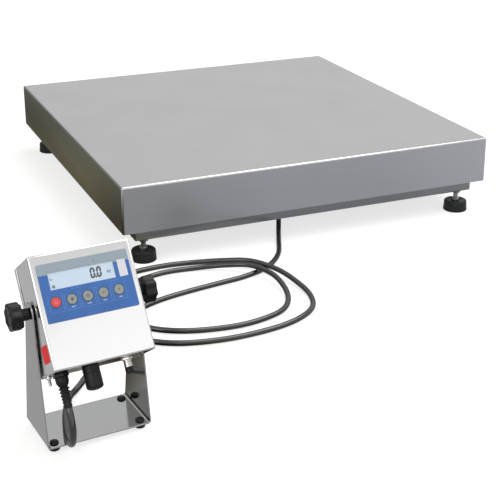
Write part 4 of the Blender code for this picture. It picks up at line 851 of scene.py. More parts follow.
def thread_ridge(bm, radius, depth, pitch, low, high, sides):
    """Adds a screw thread's ridge, wound upwards about Z."""
    half = pitch * 0.36
    turns = (high - low - 2 * half) / pitch
    outline = (
        (radius - depth, low),
        (radius, low + half * 0.75),
        (radius, low + half * 1.25),
        (radius - depth, low + 2 * half),
    )
    face = bm.faces.new([bm.verts.new((x, 0.0, z)) for x, z in outline])
    steps = max(3, round(turns * sides))
    geom = [face, *face.edges, *face.verts]
    spun(bm, geom, turns * math.tau, steps, turns * pitch / steps, False)


def smooth_route(points, steps):
    """A smooth curve through the points, with that many steps between each two."""
    points = [Vector(place) for place in points]
    points = [points[0] * 2 - points[1], *points, points[-1] * 2 - points[-2]]
    route = []
    for before, start, end, after in zip(points, points[1:], points[2:], points[3:]):
        for k in range(steps):
            t = k / steps
            line = 2 * start + (end - before) * t
            curve = (2 * before - 5 * start + 4 * end - after) * t * t
            twist = (3 * start - before - 3 * end + after) * t * t * t
            route.append((line + curve + twist) / 2)
    route.append(points[-2])
    return route


def fitting_place(x, y):
    """The place of a fitting under the housing, with Z up the housing's face."""
    return HOUSING @ Matrix.Translation((x, y, 0.0))


# Operators


class SCALE_OT_stage(bpy.types.Operator):
    """Makes the camera, the floor, the lamps and the even light"""

    bl_idname = "scale.stage"
    bl_label = "Stage"

    def execute(self, context):
        scene = context.scene
        settings = scene.scale_stage
        self.make_camera(scene, settings)
        scene.view_settings.view_transform = "Standard"
        self.make_floor(settings)
        self.make_world(scene, settings)
        middle = Vector((-0.2, -0.3, -0.05))
        face = STAND_PLACE + Vector((0.0, 0.0, 0.13))
        self.make_lamp("key_lamp", middle, settings.key_power)
        self.make_lamp("fill_lamp", middle, settings.fill_power)
        self.make_lamp("face_lamp", face, settings.face_power)
        return {"FINISHED"}

    def make_camera(self, scene, settings):
        """A camera that looks back and down, with its lens shifted."""
        optics = bpy.data.cameras.new("camera")
        optics.sensor_width = 36.0
        optics.lens = settings.focal_length
        optics.shift_y = settings.shift
        optics.clip_end = 60.0
        camera = bpy.data.objects.new("camera", optics)
        camera.location = settings.camera_place
        camera.rotation_euler = (math.pi / 2 - settings.camera_pitch, 0.0, -settings.camera_yaw)
        scene.collection.objects.link(camera)
        scene.camera = camera

    def make_floor(self, settings):
        """A pale round floor, which glows a little, and which shows metal a painted reflection in its
        mirrored tones instead of its own colour.
        """
        bm = bmesh.new()
        bmesh.ops.create_circle(bm, cap_ends=True, segments=64, radius=14.0)
        bmesh.ops.translate(bm, vec=(0, 0, FLOOR - 0.0002), verts=bm.verts)
        material, tree, shader = new_finish("pale_floor", settings.floor_colour, 0.9)
        place = surface_place(tree)
        tone = mottled(tree, settings.floor_colour, cloud(tree, place, 0.8), 0.995, 1.005)
        fill(tree, shader, {"Base Color": tone, "Specular IOR Level": 0.0})
        seen, mirrored = self.ray_kinds(tree)
        white = arithmetic(tree, "MULTIPLY", seen, settings.floor_glow)
        glow = new_node(tree, "Emission", {"Color": WHITE, "Strength": white})
        lit = new_node(tree, "AddShader", {0: shader.outputs["BSDF"], 1: glow.outputs["Emission"]})
        # Mirrored rays see a painted reflection: dark and brownish tones placed by position, not the
        # floor's pale colour
        tones = toned(tree, self.leant(tree, place), PAINTED_REFLECTION_TONES)
        painted_reflection = new_node(tree, "Emission", {"Color": tones, "Strength": settings.mirrored_strength})
        sides = {1: lit.outputs["Shader"], 2: painted_reflection.outputs["Emission"]}
        chosen = new_node(tree, "MixShader", {"Fac": mirrored, **sides})
        output = next(node for node in tree.nodes if node.type == "OUTPUT_MATERIAL")
        fill(tree, output, {"Surface": chosen.outputs["Shader"]})
        floor = finish_piece("floor", bm, material)

    def leant(self, tree, place):
        """How far right a spot on the floor lies, with the shifts behind and before the two lines."""
        apart = new_node(tree, "SeparateXYZ", {"Vector": place})
        behind = arithmetic(tree, "MAXIMUM", apart.outputs["Y"], FLOOR_LEANS_FROM)
        back = arithmetic(tree, "MULTIPLY", behind, FLOOR_LEAN)
        nearest = arithmetic(tree, "MINIMUM", apart.outputs["Y"], STAND_LEANS_FROM)
        before = arithmetic(tree, "SUBTRACT", nearest, STAND_LEANS_FROM)
        front = arithmetic(tree, "MULTIPLY", before, STAND_LEAN)
        shift = arithmetic(tree, "ADD", back, front)
        return arithmetic(tree, "ADD", apart.outputs["X"], shift)

    def ray_kinds(self, tree):
        """1 for rays that come straight from the camera or through glass, and 1 for mirrored rays."""
        rays = tree.nodes.new("ShaderNodeLightPath").outputs
        straight = arithmetic(tree, "MAXIMUM", rays["Is Camera Ray"], rays["Is Transmission Ray"])
        return straight, rays["Is Glossy Ray"]

    def make_world(self, scene, settings):
        """White behind the object, an even light on it, and a room with a dark corner in its metal."""
        world = bpy.data.worlds.new("even_light")
        world.use_nodes = True
        scene.world = world
        tree = world.node_tree
        seen, mirrored = self.ray_kinds(tree)
        way = tree.nodes.new("ShaderNodeTexCoord")
        share = new_node(tree, "VectorMath", {0: way.outputs["Generated"], 1: ROOM_DARK_WAY})
        share.operation = "DOT_PRODUCT"
        room = toned(tree, share.outputs["Value"], ROOM_TONES)
        even = shaded(settings.sky_colour, settings.world_strength)
        lit = blended(tree, mirrored, even, room)
        behind = blended(tree, seen, lit, WHITE)
        extra = arithmetic(tree, "MULTIPLY", mirrored, settings.mirrored_strength - 1.0)
        strength = arithmetic(tree, "ADD", extra, 1.0)
        fill(tree, tree.nodes["Background"], {"Color": behind, "Strength": strength})

    def make_lamp(self, name, target, power):
        """A square soft lamp that faces its target."""
        place, size = LAMPS[name]
        light = bpy.data.lights.new(name, "AREA")
        light.shape = "SQUARE"
        light.size = size
        light.energy = power
        light.color = LAMP_COLOUR
        lamp = bpy.data.objects.new(name, light)
        lamp.location = place
        lamp.rotation_euler = (target - Vector(place)).to_track_quat("-Z", "Y").to_euler()
        bpy.context.scene.collection.objects.link(lamp)


class SCALE_OT_cable(bpy.types.Operator):
    """Makes the cable that joins the platform to the indicator"""

    bl_idname = "scale.cable"
    bl_label = "Cable"

    def execute(self, context):
        settings = context.scene.scale_cable
        route = smooth_route(CABLE_ROUTE, 12)
        curve = bpy.data.curves.new("cable_line", "CURVE")
        curve.dimensions = "3D"
        curve.bevel_depth = settings.diameter / 2
        curve.bevel_resolution = 6
        curve.use_fill_caps = True
        spline = curve.splines.new("POLY")
        spline.points.add(len(route) - 1)
        for point, place in zip(spline.points, route):
            point.co = (*place, 1.0)
        jacket = moulded(
            "black_cable_jacket", settings.jacket_colour, 0.19, 0.0012, 0.06, 0.000002, shine=0.9
        )
        cable = finish_piece("cable_jacket", meshed(curve), jacket, smooth=40.0)
        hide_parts("signal_cable", "cable_tail")
        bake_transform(cable)
        return {"FINISHED"}


class SCALE_OT_pan(bpy.types.Operator):
    """Finishes the weighing pan and the pads under it"""

    bl_idname = "scale.pan"
    bl_label = "Weighing Pan"

    def execute(self, context):
        steel = context.scene.scale_steel
        grain = (0.22, 0.0012, 0.0012)
        satin = brushed_sheet("satin_stainless", steel.pan_colour, 0.33, grain, 0.03, 0.0000005)
        finished_node("weighing_pan", satin, FOLDED, steel.edge_width, 0.002)
        black = context.scene.scale_feet.rubber_colour
        rubber = moulded("pad_rubber", black, 0.7, spread=0.15, relief=0.00005)
        for corner in CORNERS:
            finished_node(f"pan_pad_{corner}", rubber)
        return {"FINISHED"}


class SCALE_OT_frames(bpy.types.Operator):
    """Finishes the lower and upper frames"""

    bl_idname = "scale.frames"
    bl_label = "Frames"

    def execute(self, context):
        steel = context.scene.scale_steel
        grains = {"x": (0.15, 0.001, 0.001), "y": (0.001, 0.15, 0.001)}
        tubes = {
            way: brushed_sheet(f"frame_tube_{way}", steel.frame_colour, 0.36, grain, 0.06, 0.000004)
            for way, grain in grains.items()
        }
        ways = {
            "lower_frame_front": "x",
            "lower_frame_back": "x",
            "lower_frame_left": "y",
            "lower_frame_right": "y",
            "lower_cross_member": "y",
            "upper_frame_beam": "y",
            "upper_frame_arm_front": "x",
            "upper_frame_arm_back": "x",
        }
        for node, way in ways.items():
            finished_node(node, tubes[way], FOLDED, steel.edge_width)
        return {"FINISHED"}


class SCALE_OT_load_cell(bpy.types.Operator):
    """Finishes the load cell, its spacers and lead, and the stops"""

    bl_idname = "scale.load_cell"
    bl_label = "Load Cell"

    def execute(self, context):
        grain = (0.0006, 0.05, 0.02)
        block = brushed_sheet("milled_aluminium", (0.5, 0.51, 0.52), 0.34, grain, 0.06, 0.00001, 0.8)
        finished_node("load_cell", block, TURNED)
        grain = (0.02, 0.0008, 0.0008)
        ground = brushed_sheet("spacer_steel", (0.34, 0.34, 0.33), 0.4, grain, 0.06, 0.00001, 0.7)
        for node in ("lower_spacer", "upper_spacer"):
            finished_node(node, ground, TURNED, 0.0003)
        zinc = plated("zinc_plate", (0.42, 0.42, 0.4), 0.34, 0.0015)
        for corner in CORNERS:
            finished_node(f"overload_stop_{corner}", zinc, TURNED)
        jacket = moulded("lead_jacket", (0.022, 0.022, 0.022), 0.4, 0.001, 0.1)
        finished_node("load_cell_lead", jacket, 60.0)
        return {"FINISHED"}


class SCALE_OT_feet(bpy.types.Operator):
    """Makes the levelling feet: moulded discs and threaded studs"""

    bl_idname = "scale.feet"
    bl_label = "Levelling Feet"

    def execute(self, context):
        settings = context.scene.scale_feet
        sides = context.scene.scale_fittings.sides
        rubber = moulded("foot_rubber", settings.rubber_colour, 0.46, 0.001, relief=0.00004)
        zinc = plated("stud_zinc", (0.4, 0.4, 0.38), 0.32, 0.0012)
        for corner, (x, y) in CORNERS.items():
            place = Matrix.Translation((x * FOOT_X, y * FOOT_Y, 0.0))
            for name, bm, material, slot, node in (
                ("moulding", self.moulding(sides), rubber, "black_rubber", "disc"),
                ("thread", self.stud(settings.thread_pitch), zinc, "zinc_steel", "stud"),
            ):
                nodes = (f"foot_{node}_{corner}",)
                finish_piece(f"foot_{name}_{corner}", bm, material, f"foot_{corner}", place, nodes)
        return {"FINISHED"}

    def moulding(self, sides):
        """A disc with a soft top edge, a shallow dish round the stud and a tread line near the floor."""
        outer = 0.025
        dish = DISC_TOP - 0.0006
        outline = [(0.0, STUD_SEAT), (0.0053, STUD_SEAT), (0.0053, dish), (0.0115, dish), (0.013, DISC_TOP)]
        outline += arc(outer - 0.0044, DISC_TOP - 0.0032, 0.0032, 90.0, 0.0, 7)
        tread = outer - 0.0011
        outline += above(
            FLOOR, (outer - 0.0004, 0.0058), (tread, 0.0054), (tread, 0.0046), (outer - 0.0001, 0.0042)
        )
        outline += arc(outer - 0.0014, FLOOR + 0.0014, 0.0014, 0.0, -90.0, 4)
        return turned([*outline, (0.0, FLOOR)], sides)

    def stud(self, pitch):
        """The stud's core and collar, with a thread wound on the core."""
        top = FRAME_BOTTOM + 0.022
        radius = 0.005
        core = radius - 0.0007
        seat = DISC_TOP + 0.0003
        collar = seat + 0.005
        tip = STUD_SEAT + 0.0003
        outline = [
            (0.0, top), (core - 0.0008, top), (core, top - 0.0008), (core, collar + 0.0018),
            (0.0062, collar), (0.0076, collar), (0.008, collar - 0.0005), (0.008, seat),
            (radius, seat), (radius, tip), (0.0, tip),
        ]
        bm = turned(outline, 32)
        thread_ridge(bm, radius - 0.00005, 0.0009, pitch, collar + 0.0014, top - 0.001, 20)
        return bm


class SCALE_OT_stand(bpy.types.Operator):
    """Finishes the indicator's stand and makes its rubber feet"""

    bl_idname = "scale.stand"
    bl_label = "Stand"

    def execute(self, context):
        grey = context.scene.scale_steel.stand_colour
        grain = (0.0009, 0.0009, 0.06)
        polished = brushed_sheet("polished_stainless", grey, 0.1, grain, 0.03, 0.0000006)
        finished_node("stand_bracket", polished, TURNED, 0.0003, 0.002)
        rubber = moulded("stand_foot_rubber", (0.012, 0.013, 0.013), 0.38)
        for corner, (x, y) in CORNERS.items():
            place = STAND @ Matrix.Translation((x * STAND_FOOT_X, y * STAND_FOOT_Y, 0.0))
            nodes = (f"stand_foot_{corner}",)
            finish_piece(f"stand_pad_{corner}", self.pad(), rubber, "base", place, nodes)
        return {"FINISHED"}

    def pad(self):
        """A pad under the plate, a neck in its hole and a domed head above."""
        head = 0.0065
        neck = 0.0035
        outer = 0.008
        plate_top = 0.0103
        plate_bottom = 0.0077
        outline = [(0.0, plate_top + 0.004)]
        outline += arc(0.0, plate_top + 0.0008, head, 90.0, 0.0, 8, 0.0032)[1:]
        outline += [
            (head, plate_top), (neck, plate_top), (neck, plate_bottom), (outer - 0.0002, plate_bottom),
            (outer, plate_bottom - 0.0003), (outer, 0.001), (outer - 0.001, 0.0), (0.0, 0.0),
        ]
        return turned(outline, 40)


class SCALE_OT_housing(bpy.types.Operator):
    """Finishes the indicator's housing, its gasket and back cover, with the cover's screws"""

    bl_idname = "scale.housing"
    bl_label = "Housing"

    def execute(self, context):
        grey = context.scene.scale_steel.housing_colour
        turn = [-angle for angle in HOUSING.to_euler("XYZ")]
        grain = (0.09, 0.001, 0.001)
        brushed = brushed_sheet("housing_stainless", grey, 0.13, grain, 0.01, 0.0000002, turn=turn)
        for node in ("housing_shell", "back_cover"):
            finished_node(node, brushed, FOLDED, flat_area=0.0004)
        seal = moulded("gasket_rubber", RUBBER_BLACK, 0.6)
        finished_node("housing_gasket", seal, FOLDED)
        self.make_screws(context.scene.scale_fittings.screw_head)
        self.make_label()
        return {"FINISHED"}

    def make_screws(self, head):
        """The back cover's screws, three down each side."""
        steel = plated("screw_stainless", (0.45, 0.45, 0.45), 0.28, spread=0.05, relief=0.000005)
        bm = bmesh.new()
        for x in SCREWS_ACROSS:
            for z in SCREWS_UP:
                added(bm, self.screw(head, (x, COVER_BACK, z)))
        housing_piece("cover_screws", bm, steel)

    def make_label(self):
        """A plain red label on the housing's left side."""
        red = inked("red_label", (0.88, 0.022, 0.022))
        bm = bmesh.new()
        thicken(bm, sheet(bm, *LABEL_SIZE, 0.0025), 0.00012)
        side = Matrix.Translation(LABEL_MIDDLE) @ Matrix(
            ((0, 0, -1, 0), (1, 0, 0, 0), (0, 1, 0, 0), (0, 0, 0, 1))
        )
        housing_piece("side_label", bm, red, place=HOUSING @ side)

    def screw(self, head, place):
        """A low button head with a hexagon socket, which faces the housing's back."""
        radius = head / 2
        rise = radius * 0.42
        outline = [(0.0, rise * 0.35), (radius * 0.4, rise * 0.35), (radius * 0.46, rise)]
        outline += arc(radius * 0.5, 0.0, radius * 0.5, 75.0, 15.0, 4, rise)
        bm = turned([*outline, (radius, 0.0), (0.0, 0.0)], 24)
        for vert in bm.verts:
            away = math.hypot(vert.co.x, vert.co.y)
            if 0.0 < away < radius * 0.5:
                angle = math.atan2(vert.co.y, vert.co.x)
                near = (angle + math.pi / 6) % (math.pi / 3) - math.pi / 6
                share = 0.92 / math.cos(near)
                vert.co.x *= share
                vert.co.y *= share
        bm.transform(Matrix.Translation(place) @ Matrix.Rotation(-math.pi / 2, 4, "X"))
        return bm


class SCALE_OT_display(bpy.types.Operator):
    """Makes the display with its digits, and its clear window"""

    bl_idname = "scale.display"
    bl_label = "Display"

    def execute(self, context):
        settings = context.scene.scale_keypad
        thin = settings.print_thickness
        back = FACE - 0.00004
        glass = 0.0001
        front = back - glass
        x, z = DISPLAY_MIDDLE
        bm = bmesh.new()
        plate(bm, *DISPLAY_SIZE, glass, (x, back, z), 0.001)
        lit = lit_display("display_glass", settings.display_colour)
        housing_piece("display_glass", bm, lit)
        bm = bmesh.new()
        self.digits(bm, settings.digit_height, thin, front)
        added(bm, printed_words("kg", 0.0064, thin, (0.0345, front, 0.03)))
        plate(bm, 0.0042, 0.0008, thin, (-0.0483, front, 0.0336), 0.0002)
        plate(bm, 0.0008, 0.002, thin, (-0.05, front, 0.0344), 0.0002)
        ring(bm, 0.0022, 0.0009, thin, (-0.047, front, 0.0236), 24)
        disc(bm, 0.0009, thin, (-0.047, front, 0.0236), 16)
        dark = inked("display_ink", (0.012, 0.014, 0.018))
        housing_piece("display_marks", bm, dark)
        finished_node("display_window", clear_window("window_film"))
        board = circuit_board("board_lacquer", (0.02, 0.1, 0.045))
        painted_node("display_module", board)
        painted_node("main_board", board)
        return {"FINISHED"}

    def digits(self, bm, height, thin, front):
        """Two zeros with a point between them, in seven-segment bars."""
        bar = height * 0.18
        across = height * 0.49 - bar
        up = height - bar
        middle = 0.032
        lean = (0.06, middle)
        for x in (0.0108, 0.0202):
            for level in (-1, 1):
                place = (x, front, middle + level * up / 2)
                segment_bar(bm, across, bar, thin, place, False, lean)
                for side in (-1, 1):
                    place = (x + side * across / 2, front, middle + level * up / 4)
                    segment_bar(bm, up / 2 - bar * 0.12, bar, thin, place, True, lean)
        disc(bm, bar * 0.52, thin, (0.0151, front, middle - height / 2 + bar * 0.5), 16)


class SCALE_OT_keypad(bpy.types.Operator):
    """Makes the printed overlay and the keys with their symbols"""

    bl_idname = "scale.keypad"
    bl_label = "Keypad"

    def execute(self, context):
        settings = context.scene.scale_keypad
        finished_node("keypad_overlay", printed_overlay(settings))
        self.print_overlay(settings.print_thickness)
        self.make_keys(settings)
        return {"FINISHED"}

    def print_overlay(self, thin):
        """The label, the lines round the keys, the small marks and the keys' captions."""
        white = inked("label_white", (0.7, 0.69, 0.735))
        bm = bmesh.new()
        plate(bm, 0.0122, 0.0238, thin, (0.0541, OVERLAY_FRONT, 0.031), 0.0012)
        housing_piece("overlay_label", bm, white)
        pale = inked("line_pale_blue", (0.16, 0.32, 0.62))
        bm = bmesh.new()
        line = 0.00035
        for x in KEYS.values():
            self.frame_lines(bm, x, 0.0098, 0.0118, line, thin)
        plate(bm, 0.014, line, thin, (-0.018, OVERLAY_FRONT, 0.016))
        plate(bm, 0.018, line, thin, (0.036, OVERLAY_FRONT, 0.016))
        housing_piece("overlay_lines", bm, pale)
        dark = inked("overlay_dark_ink", (0.05, 0.07, 0.09))
        bm = bmesh.new()
        plate(bm, 0.0022, 0.0005, thin, (0.0158, OVERLAY_FRONT, 0.0491))
        plate(bm, 0.0006, 0.0026, thin, (0.0158, OVERLAY_FRONT, 0.0475))
        for x in KEYS.values():
            ring(bm, 0.0079, 0.0007, thin, (x, OVERLAY_FRONT, KEY_HEIGHT), 48)
        housing_piece("overlay_marks", bm, dark)
        light = inked("caption_white", (0.72, 0.76, 0.82))
        bm = bmesh.new()
        for name, words in KEY_WORDS.items():
            place = (KEYS[name], OVERLAY_FRONT, KEY_HEIGHT - 0.0103)
            added(bm, printed_words(words, 0.0021, thin, place))
        housing_piece("key_captions", bm, light)

    def frame_lines(self, bm, x, half_width, half_height, line, thin):
        """A thin rectangle round a key, open at its top."""
        plate(bm, 2 * half_width, line, thin, (x, OVERLAY_FRONT, -half_height))
        for side in (-1, 1):
            place = (x + side * half_width, OVERLAY_FRONT, 0.0)
            plate(bm, line, 2 * half_height, thin, place)

    def make_keys(self, settings):
        """The keys' caps, each with its symbol."""
        thin = settings.print_thickness
        red = inked("key_red_film", settings.power_colour)
        grey = inked("key_grey_film", settings.key_colour)
        dark = inked("key_ink", (0.045, 0.05, 0.055))
        pale = inked("power_ink", (0.95, 0.36, 0.34))
        back = OVERLAY_FRONT + 0.0007
        field = 0.00112
        outline = [(0.0, 0.0011), (0.005, field), (0.0058, 0.0012)]
        outline += arc(0.0063, 0.0005, 0.0007, 90.0, 0.0, 4)
        outline += [(0.007, 0.0), (0.0, 0.0)]
        for name, x in KEYS.items():
            film, ink, slot = (red, pale, "key_red") if name == "key_power" else (grey, dark, "key_grey")
            place = HOUSING @ Matrix.Translation((x, back, KEY_HEIGHT)) @ STAND_UP
            housing_piece(f"{name}_cap", turned(outline, 48), film, (name,), place, name)
            bm = bmesh.new()
            self.symbol(bm, name, thin, (x, back - field, KEY_HEIGHT))
            housing_piece(f"{name}_symbol", bm, ink, body=name)

    def symbol(self, bm, name, thin, centre):
        """A key's mark: a generic sign for what the key does."""
        x, y, z = centre
        if name == "key_power":
            ring(bm, 0.0024, 0.0005, thin, centre, 28, 70.0)
            plate(bm, 0.0005, 0.0024, thin, (x, y, z + 0.0014))
        elif name == "key_print":
            plate(bm, 0.0034, 0.0017, thin, centre, 0.0003)
            plate(bm, 0.002, 0.0009, thin, (x, y, z + 0.0016))
            plate(bm, 0.002, 0.001, thin, (x, y, z - 0.0016))
        elif name == "key_units":
            ring(bm, 0.0024, 0.0004, thin, centre, 28)
            plate(bm, 0.003, 0.0004, thin, centre)
            plate(bm, 0.0004, 0.003, thin, centre)
        elif name == "key_zero":
            ring(bm, 0.0013, 0.0004, thin, centre, 24)
            for side in (-1, 1):
                plate(bm, 0.0014, 0.0004, thin, (x + side * 0.0024, y, z))
        else:
            plate(bm, 0.0034, 0.0005, thin, (x, y, z + 0.0013))
            plate(bm, 0.0005, 0.0028, thin, (x, y, z - 0.0002))


class SCALE_OT_knobs(bpy.types.Operator):
    """Makes the clamping knobs, their studs and the washers"""

    bl_idname = "scale.knobs"
    bl_label = "Clamping Knobs"

    def execute(self, context):
        black = context.scene.scale_fittings.plastic_colour
        plastic = moulded("knob_plastic", black, 0.34, 0.0007)
        zinc = plated("knob_stud_zinc", (0.42, 0.42, 0.4), 0.3)
        seal = moulded("washer_rubber", RUBBER_BLACK, 0.6)
        for side, way in (("left", -1), ("right", 1)):
            axis = HOUSING @ Matrix.Rotation(way * math.pi / 2, 4, "Y")
            body = f"knob_{side}"
            housing_piece(f"{body}_head", self.head(), plastic, (body,), axis, body)
            housing_piece(f"{body}_thread", self.stud(), zinc, (), axis, body)
            finished_node(f"pivot_washer_{side}", seal)
        return {"FINISHED"}

    def stud(self):
        """The knob's threaded stud."""
        outline = [(0.0, 0.09), (0.0036, 0.09), (0.0036, 0.0645), (0.0032, 0.064), (0.0, 0.064)]
        bm = turned(outline, 28)
        thread_ridge(bm, 0.004, 0.0006, 0.00125, 0.0646, 0.0784, 18)
        return bm

    def head(self):
        """Seven rounded lobes with soft rims on a hub, and a shallow dish in the outer face."""
        lobes = 7
        radius = 0.02
        groove = 0.0025
        height = 0.018
        rim = 0.003
        low = KNOB_START + 0.011
        bm = bmesh.new()
        bmesh.ops.create_circle(bm, cap_ends=True, segments=lobes * 18, radius=radius)
        for vert in bm.verts:
            wave = 0.5 * (1 - math.cos(lobes * math.atan2(vert.co.y, vert.co.x)))
            vert.co *= 1 - groove * wave / radius
        thicken(bm, bm.faces[:], height)
        bmesh.ops.recalc_face_normals(bm, faces=bm.faces)
        rounded(bm, level_edges(bm.edges), rim, 5)
        front = max(bm.faces, key=lambda face: (face.calc_center_median().z, face.calc_area()))
        for thickness, depth in ((0.003, 0.0), (0.0012, -0.0012)):
            bmesh.ops.inset_region(bm, faces=[front], thickness=thickness, depth=depth)
        bmesh.ops.translate(bm, vec=(0, 0, low), verts=bm.verts)
        outer = 0.0085
        bore = 0.0042
        hub = [(0.0, low + 0.004), (outer, low + 0.004)]
        hub += above(KNOB_START, (outer, 0.0008), (0.0077, 0.0), (bore, 0.0), (bore, 0.004), (0.0, 0.004))
        added(bm, turned(hub, 48))
        return bm


class SCALE_OT_fittings(bpy.types.Operator):
    """Makes the glands, the cable's strain relief, the port's cap and the round connector"""

    bl_idname = "scale.fittings"
    bl_label = "Fittings"

    def execute(self, context):
        settings = context.scene.scale_fittings
        plastic = moulded("fitting_plastic", settings.plastic_colour, 0.36, 0.0007, relief=0.00002)
        rubber = moulded("relief_rubber", (0.012, 0.014, 0.014), 0.42)
        nickel = plated(
            "nickel_plate", settings.nickel_colour, 0.2, 0.002, 0.05, 0.000005, metallic=0.95
        )
        self.make_glands(plastic, settings.sides)
        self.make_relief(rubber)
        self.make_port(plastic, settings.sides)
        self.make_connector(nickel, plastic)
        self.make_earth_nut(nickel)
        return {"FINISHED"}

    def gland(self, sides, top, seat):
        """A gland's thread, hexagon and domed nut."""
        hexagon = 0.005
        neck = 0.008
        outline = [(0.0, top), (neck, top), (neck, seat - 0.001)]
        outline += above(
            seat - hexagon,
            (neck, 0.0003), (0.0089, 0.0), (0.0092, -0.0005), (0.0092, -0.0058), (0.0089, -0.0078),
            (neck, -0.01), (0.0068, -0.012), (0.0062, -0.013), (0.0, -0.013),
        )
        bm = turned(outline, sides)
        hexagon_nut(bm, 0.02, hexagon, seat)
        return bm

    def make_glands(self, plastic, sides):
        """The platform's gland and the housing's."""
        bm = self.gland(sides, -0.0943, -0.1036)
        place = Matrix.Translation(PLATFORM_GLAND_AT)
        nodes = ("platform_gland",)
        finish_piece("platform_gland_nut", bm, plastic, "base", place, nodes)
        bm = self.gland(sides, FITTING_ROOT, FITTING_TOP)
        place = fitting_place(*GLAND_AT)
        housing_piece("cable_gland_nut", bm, plastic, ("cable_gland",), place)

    def make_relief(self, rubber):
        """A soft sleeve whose ribs shrink towards its tip."""
        top = -0.1076
        length = 0.03
        ribs = 6
        pitch = length / (ribs + 0.5)
        core = 0.0055
        first = 0.00775
        last = 0.00625
        outline = [(0.0, top), (0.0062, top)]
        for rib in range(ribs):
            level = top - pitch * (rib + 0.25)
            radius = first + (last - first) * rib / (ribs - 1)
            soft = radius - 0.0004
            outline += above(
                level,
                (core, pitch * 0.02), (soft, -pitch * 0.22), (radius, -pitch * 0.32),
                (radius, -pitch * 0.46), (soft, -pitch * 0.56), (core, -pitch * 0.76),
            )
        bm = turned([*outline, (core, top - length), (0.0, top - length)], 40)
        place = fitting_place(*GLAND_AT)
        housing_piece("relief_sleeve", bm, rubber, ("cable_relief",), place)

    def make_port(self, plastic, sides):
        """The threaded port, and its cap with a groove near the rim and a round end."""
        top = FITTING_TOP
        low = top - 0.013
        place = fitting_place(*PORT_AT)
        core = 0.0074
        mouth = 0.005
        outline = [(0.0, FITTING_ROOT), (core, FITTING_ROOT)]
        outline += above(low, (core, 0.0004), (0.007, 0.0), (mouth, 0.0), (mouth, 0.006), (0.0, 0.006))
        bm = turned(outline, sides)
        thread_ridge(bm, 0.008, 0.0009, 0.0016, low + 0.0006, top - 0.0008, 28)
        housing_piece("port_thread", bm, plastic, ("port_socket",), place)
        outer = 0.012
        groove = outer - 0.0005
        bottom = top - 0.034
        crown = 0.0054
        inner = 0.0085
        outline = [(0.0, low - 0.0005), (inner, low - 0.0005)]
        outline += above(
            top,
            (inner, 0.0), (groove, 0.0), (outer, -0.0005), (outer, -0.009), (groove, -0.0094),
            (groove, -0.01), (outer, -0.0104),
        )
        outline += arc(0.0, bottom + crown, outer, 0.0, -88.0, 8, crown)
        bm = turned([*outline, (0.0, bottom)], sides)
        housing_piece("port_cap_shell", bm, plastic, ("port_cap",), place, "port_cap")

    def make_connector(self, nickel, plastic):
        """A plated shell with a hexagon nut, over a black coupling ring and insert."""
        nut = FITTING_TOP - 0.004
        low = nut - 0.016
        place = fitting_place(*PLUG_AT)
        outer = 0.006
        groove = 0.0055
        inner = 0.0048
        outline = [(0.0, FITTING_ROOT), (outer, FITTING_ROOT)]
        outline += above(nut, (outer, -0.002), (groove, -0.0024), (groove, -0.0034), (outer, -0.0038))
        outline += above(low, (outer, 0.0063), (0.0057, 0.006), (inner, 0.006), (inner, 0.008))
        outline.append((0.0, low + 0.008))
        bm = turned(outline, 48)
        hexagon_nut(bm, 0.014, 0.004, FITTING_TOP)
        housing_piece("connector_shell", bm, nickel, ("round_connector",), place)
        core = 0.0045
        groove = 0.0058
        outline = above(
            low,
            (0.0, 0.0077), (core, 0.0077), (core, 0.0058), (0.0056, 0.0058), (outer, 0.0054),
            (outer, 0.004), (groove, 0.0038), (groove, 0.0032), (outer, 0.003), (outer, 0.0005),
            (0.0056, 0.0), (core, 0.0),
        )
        outline += above(
            low - 0.003,
            (core, 0.0008), (0.0043, 0.0002), (0.0038, 0.0), (0.0026, 0.0), (0.0024, 0.0012), (0.0, 0.0012),
        )
        bm = turned(outline, 40)
        housing_piece("connector_core", bm, plastic, ("connector_insert",), place)

    def make_earth_nut(self, nickel):
        """The earth stud's washer, and the thread below it."""
        hole = 0.0022
        outer = 0.0048
        top = FITTING_TOP
        low = top - 0.0008
        bm = turned([(hole, top), (outer, top), (outer, low), (hole, low), (hole, top)], 32)
        thread_ridge(bm, 0.0023, 0.0005, 0.0007, top - 0.0124, top - 0.0042, 14)
        housing_piece("earth_washer", bm, nickel, place=fitting_place(*EARTH_AT))


class SCALE_OT_level(bpy.types.Operator):
    """Makes the round bubble level on the frame"""

    bl_idname = "scale.level"
    bl_label = "Bubble Level"

    def execute(self, context):
        place = Matrix.Translation(LEVEL_AT)
        metal = moulded("level_body", (0.3, 0.3, 0.31), 0.4, 0.001, 0.06, 0.00002)
        liquid = inked("level_liquid", (0.25, 0.62, 0.12))
        outline = above(
            LEVEL_BASE,
            (0.0, 0.0095), (0.0092, 0.0095), (0.0095, 0.0106), (0.0106, 0.0106), (0.011, 0.01),
            (0.011, 0.004), (0.0146, 0.004), (0.015, 0.0036), (0.015, 0.0), (0.0, 0.0),
        )
        bm = turned(outline, 56)
        finish_piece("level_case", bm, metal, "base", place, ("spirit_level",))
        outline = above(LEVEL_BASE, (0.0, 0.0106), (0.006, 0.0103), (0.0091, 0.0098), (0.0, 0.0096))
        bm = turned(outline, 48)
        finish_piece("level_glass", bm, liquid, "base", place, smooth=60.0)
        return {"FINISHED"}


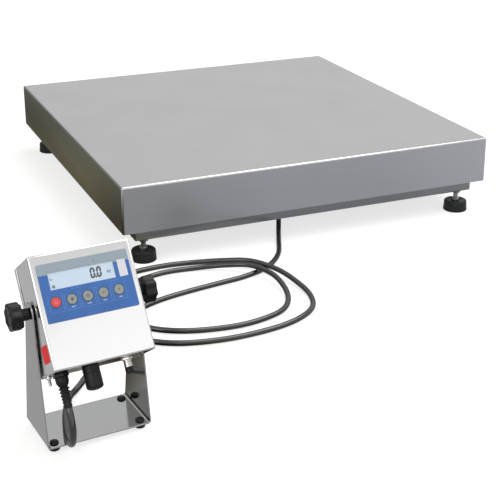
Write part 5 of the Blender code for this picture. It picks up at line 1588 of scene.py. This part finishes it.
STEPS = (
    ("scale_stage", StageSettings, (SCALE_OT_stage,)),
    ("scale_cable", CableSettings, (SCALE_OT_cable,)),
    ("scale_steel", SteelSettings, (SCALE_OT_pan, SCALE_OT_frames, SCALE_OT_load_cell, SCALE_OT_stand)),
    ("scale_feet", FeetSettings, (SCALE_OT_feet, SCALE_OT_level)),
    ("scale_keypad", KeypadSettings, (SCALE_OT_display, SCALE_OT_keypad)),
    ("scale_fittings", FittingSettings, (SCALE_OT_housing, SCALE_OT_knobs, SCALE_OT_fittings)),
)


class SCALE_PT_pieces(bpy.types.Panel):
    """Lists the scale's pieces with their sizes and colours."""

    bl_idname = "SCALE_PT_pieces"
    bl_label = "Platform Scale"
    bl_space_type = "VIEW_3D"
    bl_region_type = "UI"
    bl_category = "Scale"

    def draw(self, context):
        for setting, group, operators in STEPS:
            section = self.layout.box()
            values = getattr(context.scene, setting)
            for value in group.__annotations__:
                section.prop(values, value)
            for operator in operators:
                section.operator(operator.bl_idname)


def register():
    """Registers the settings, the operators and the panel."""
    for setting, group, operators in STEPS:
        bpy.utils.register_class(group)
        setattr(bpy.types.Scene, setting, PointerProperty(type=group))
        for operator in operators:
            bpy.utils.register_class(operator)
    bpy.utils.register_class(SCALE_PT_pieces)


def unregister():
    """Takes back what register did, last first."""
    bpy.utils.unregister_class(SCALE_PT_pieces)
    for setting, group, operators in reversed(STEPS):
        for operator in reversed(operators):
            bpy.utils.unregister_class(operator)
        delattr(bpy.types.Scene, setting)
        bpy.utils.unregister_class(group)


def main():
    """Makes every piece in order."""
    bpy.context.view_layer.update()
    register()
    bpy.ops.scale.stage()
    bpy.ops.scale.cable()
    bpy.ops.scale.pan()
    bpy.ops.scale.frames()
    bpy.ops.scale.load_cell()
    bpy.ops.scale.feet()
    bpy.ops.scale.level()
    bpy.ops.scale.stand()
    bpy.ops.scale.housing()
    bpy.ops.scale.display()
    bpy.ops.scale.keypad()
    bpy.ops.scale.knobs()
    bpy.ops.scale.fittings()


if __name__ == "__main__":
    main()
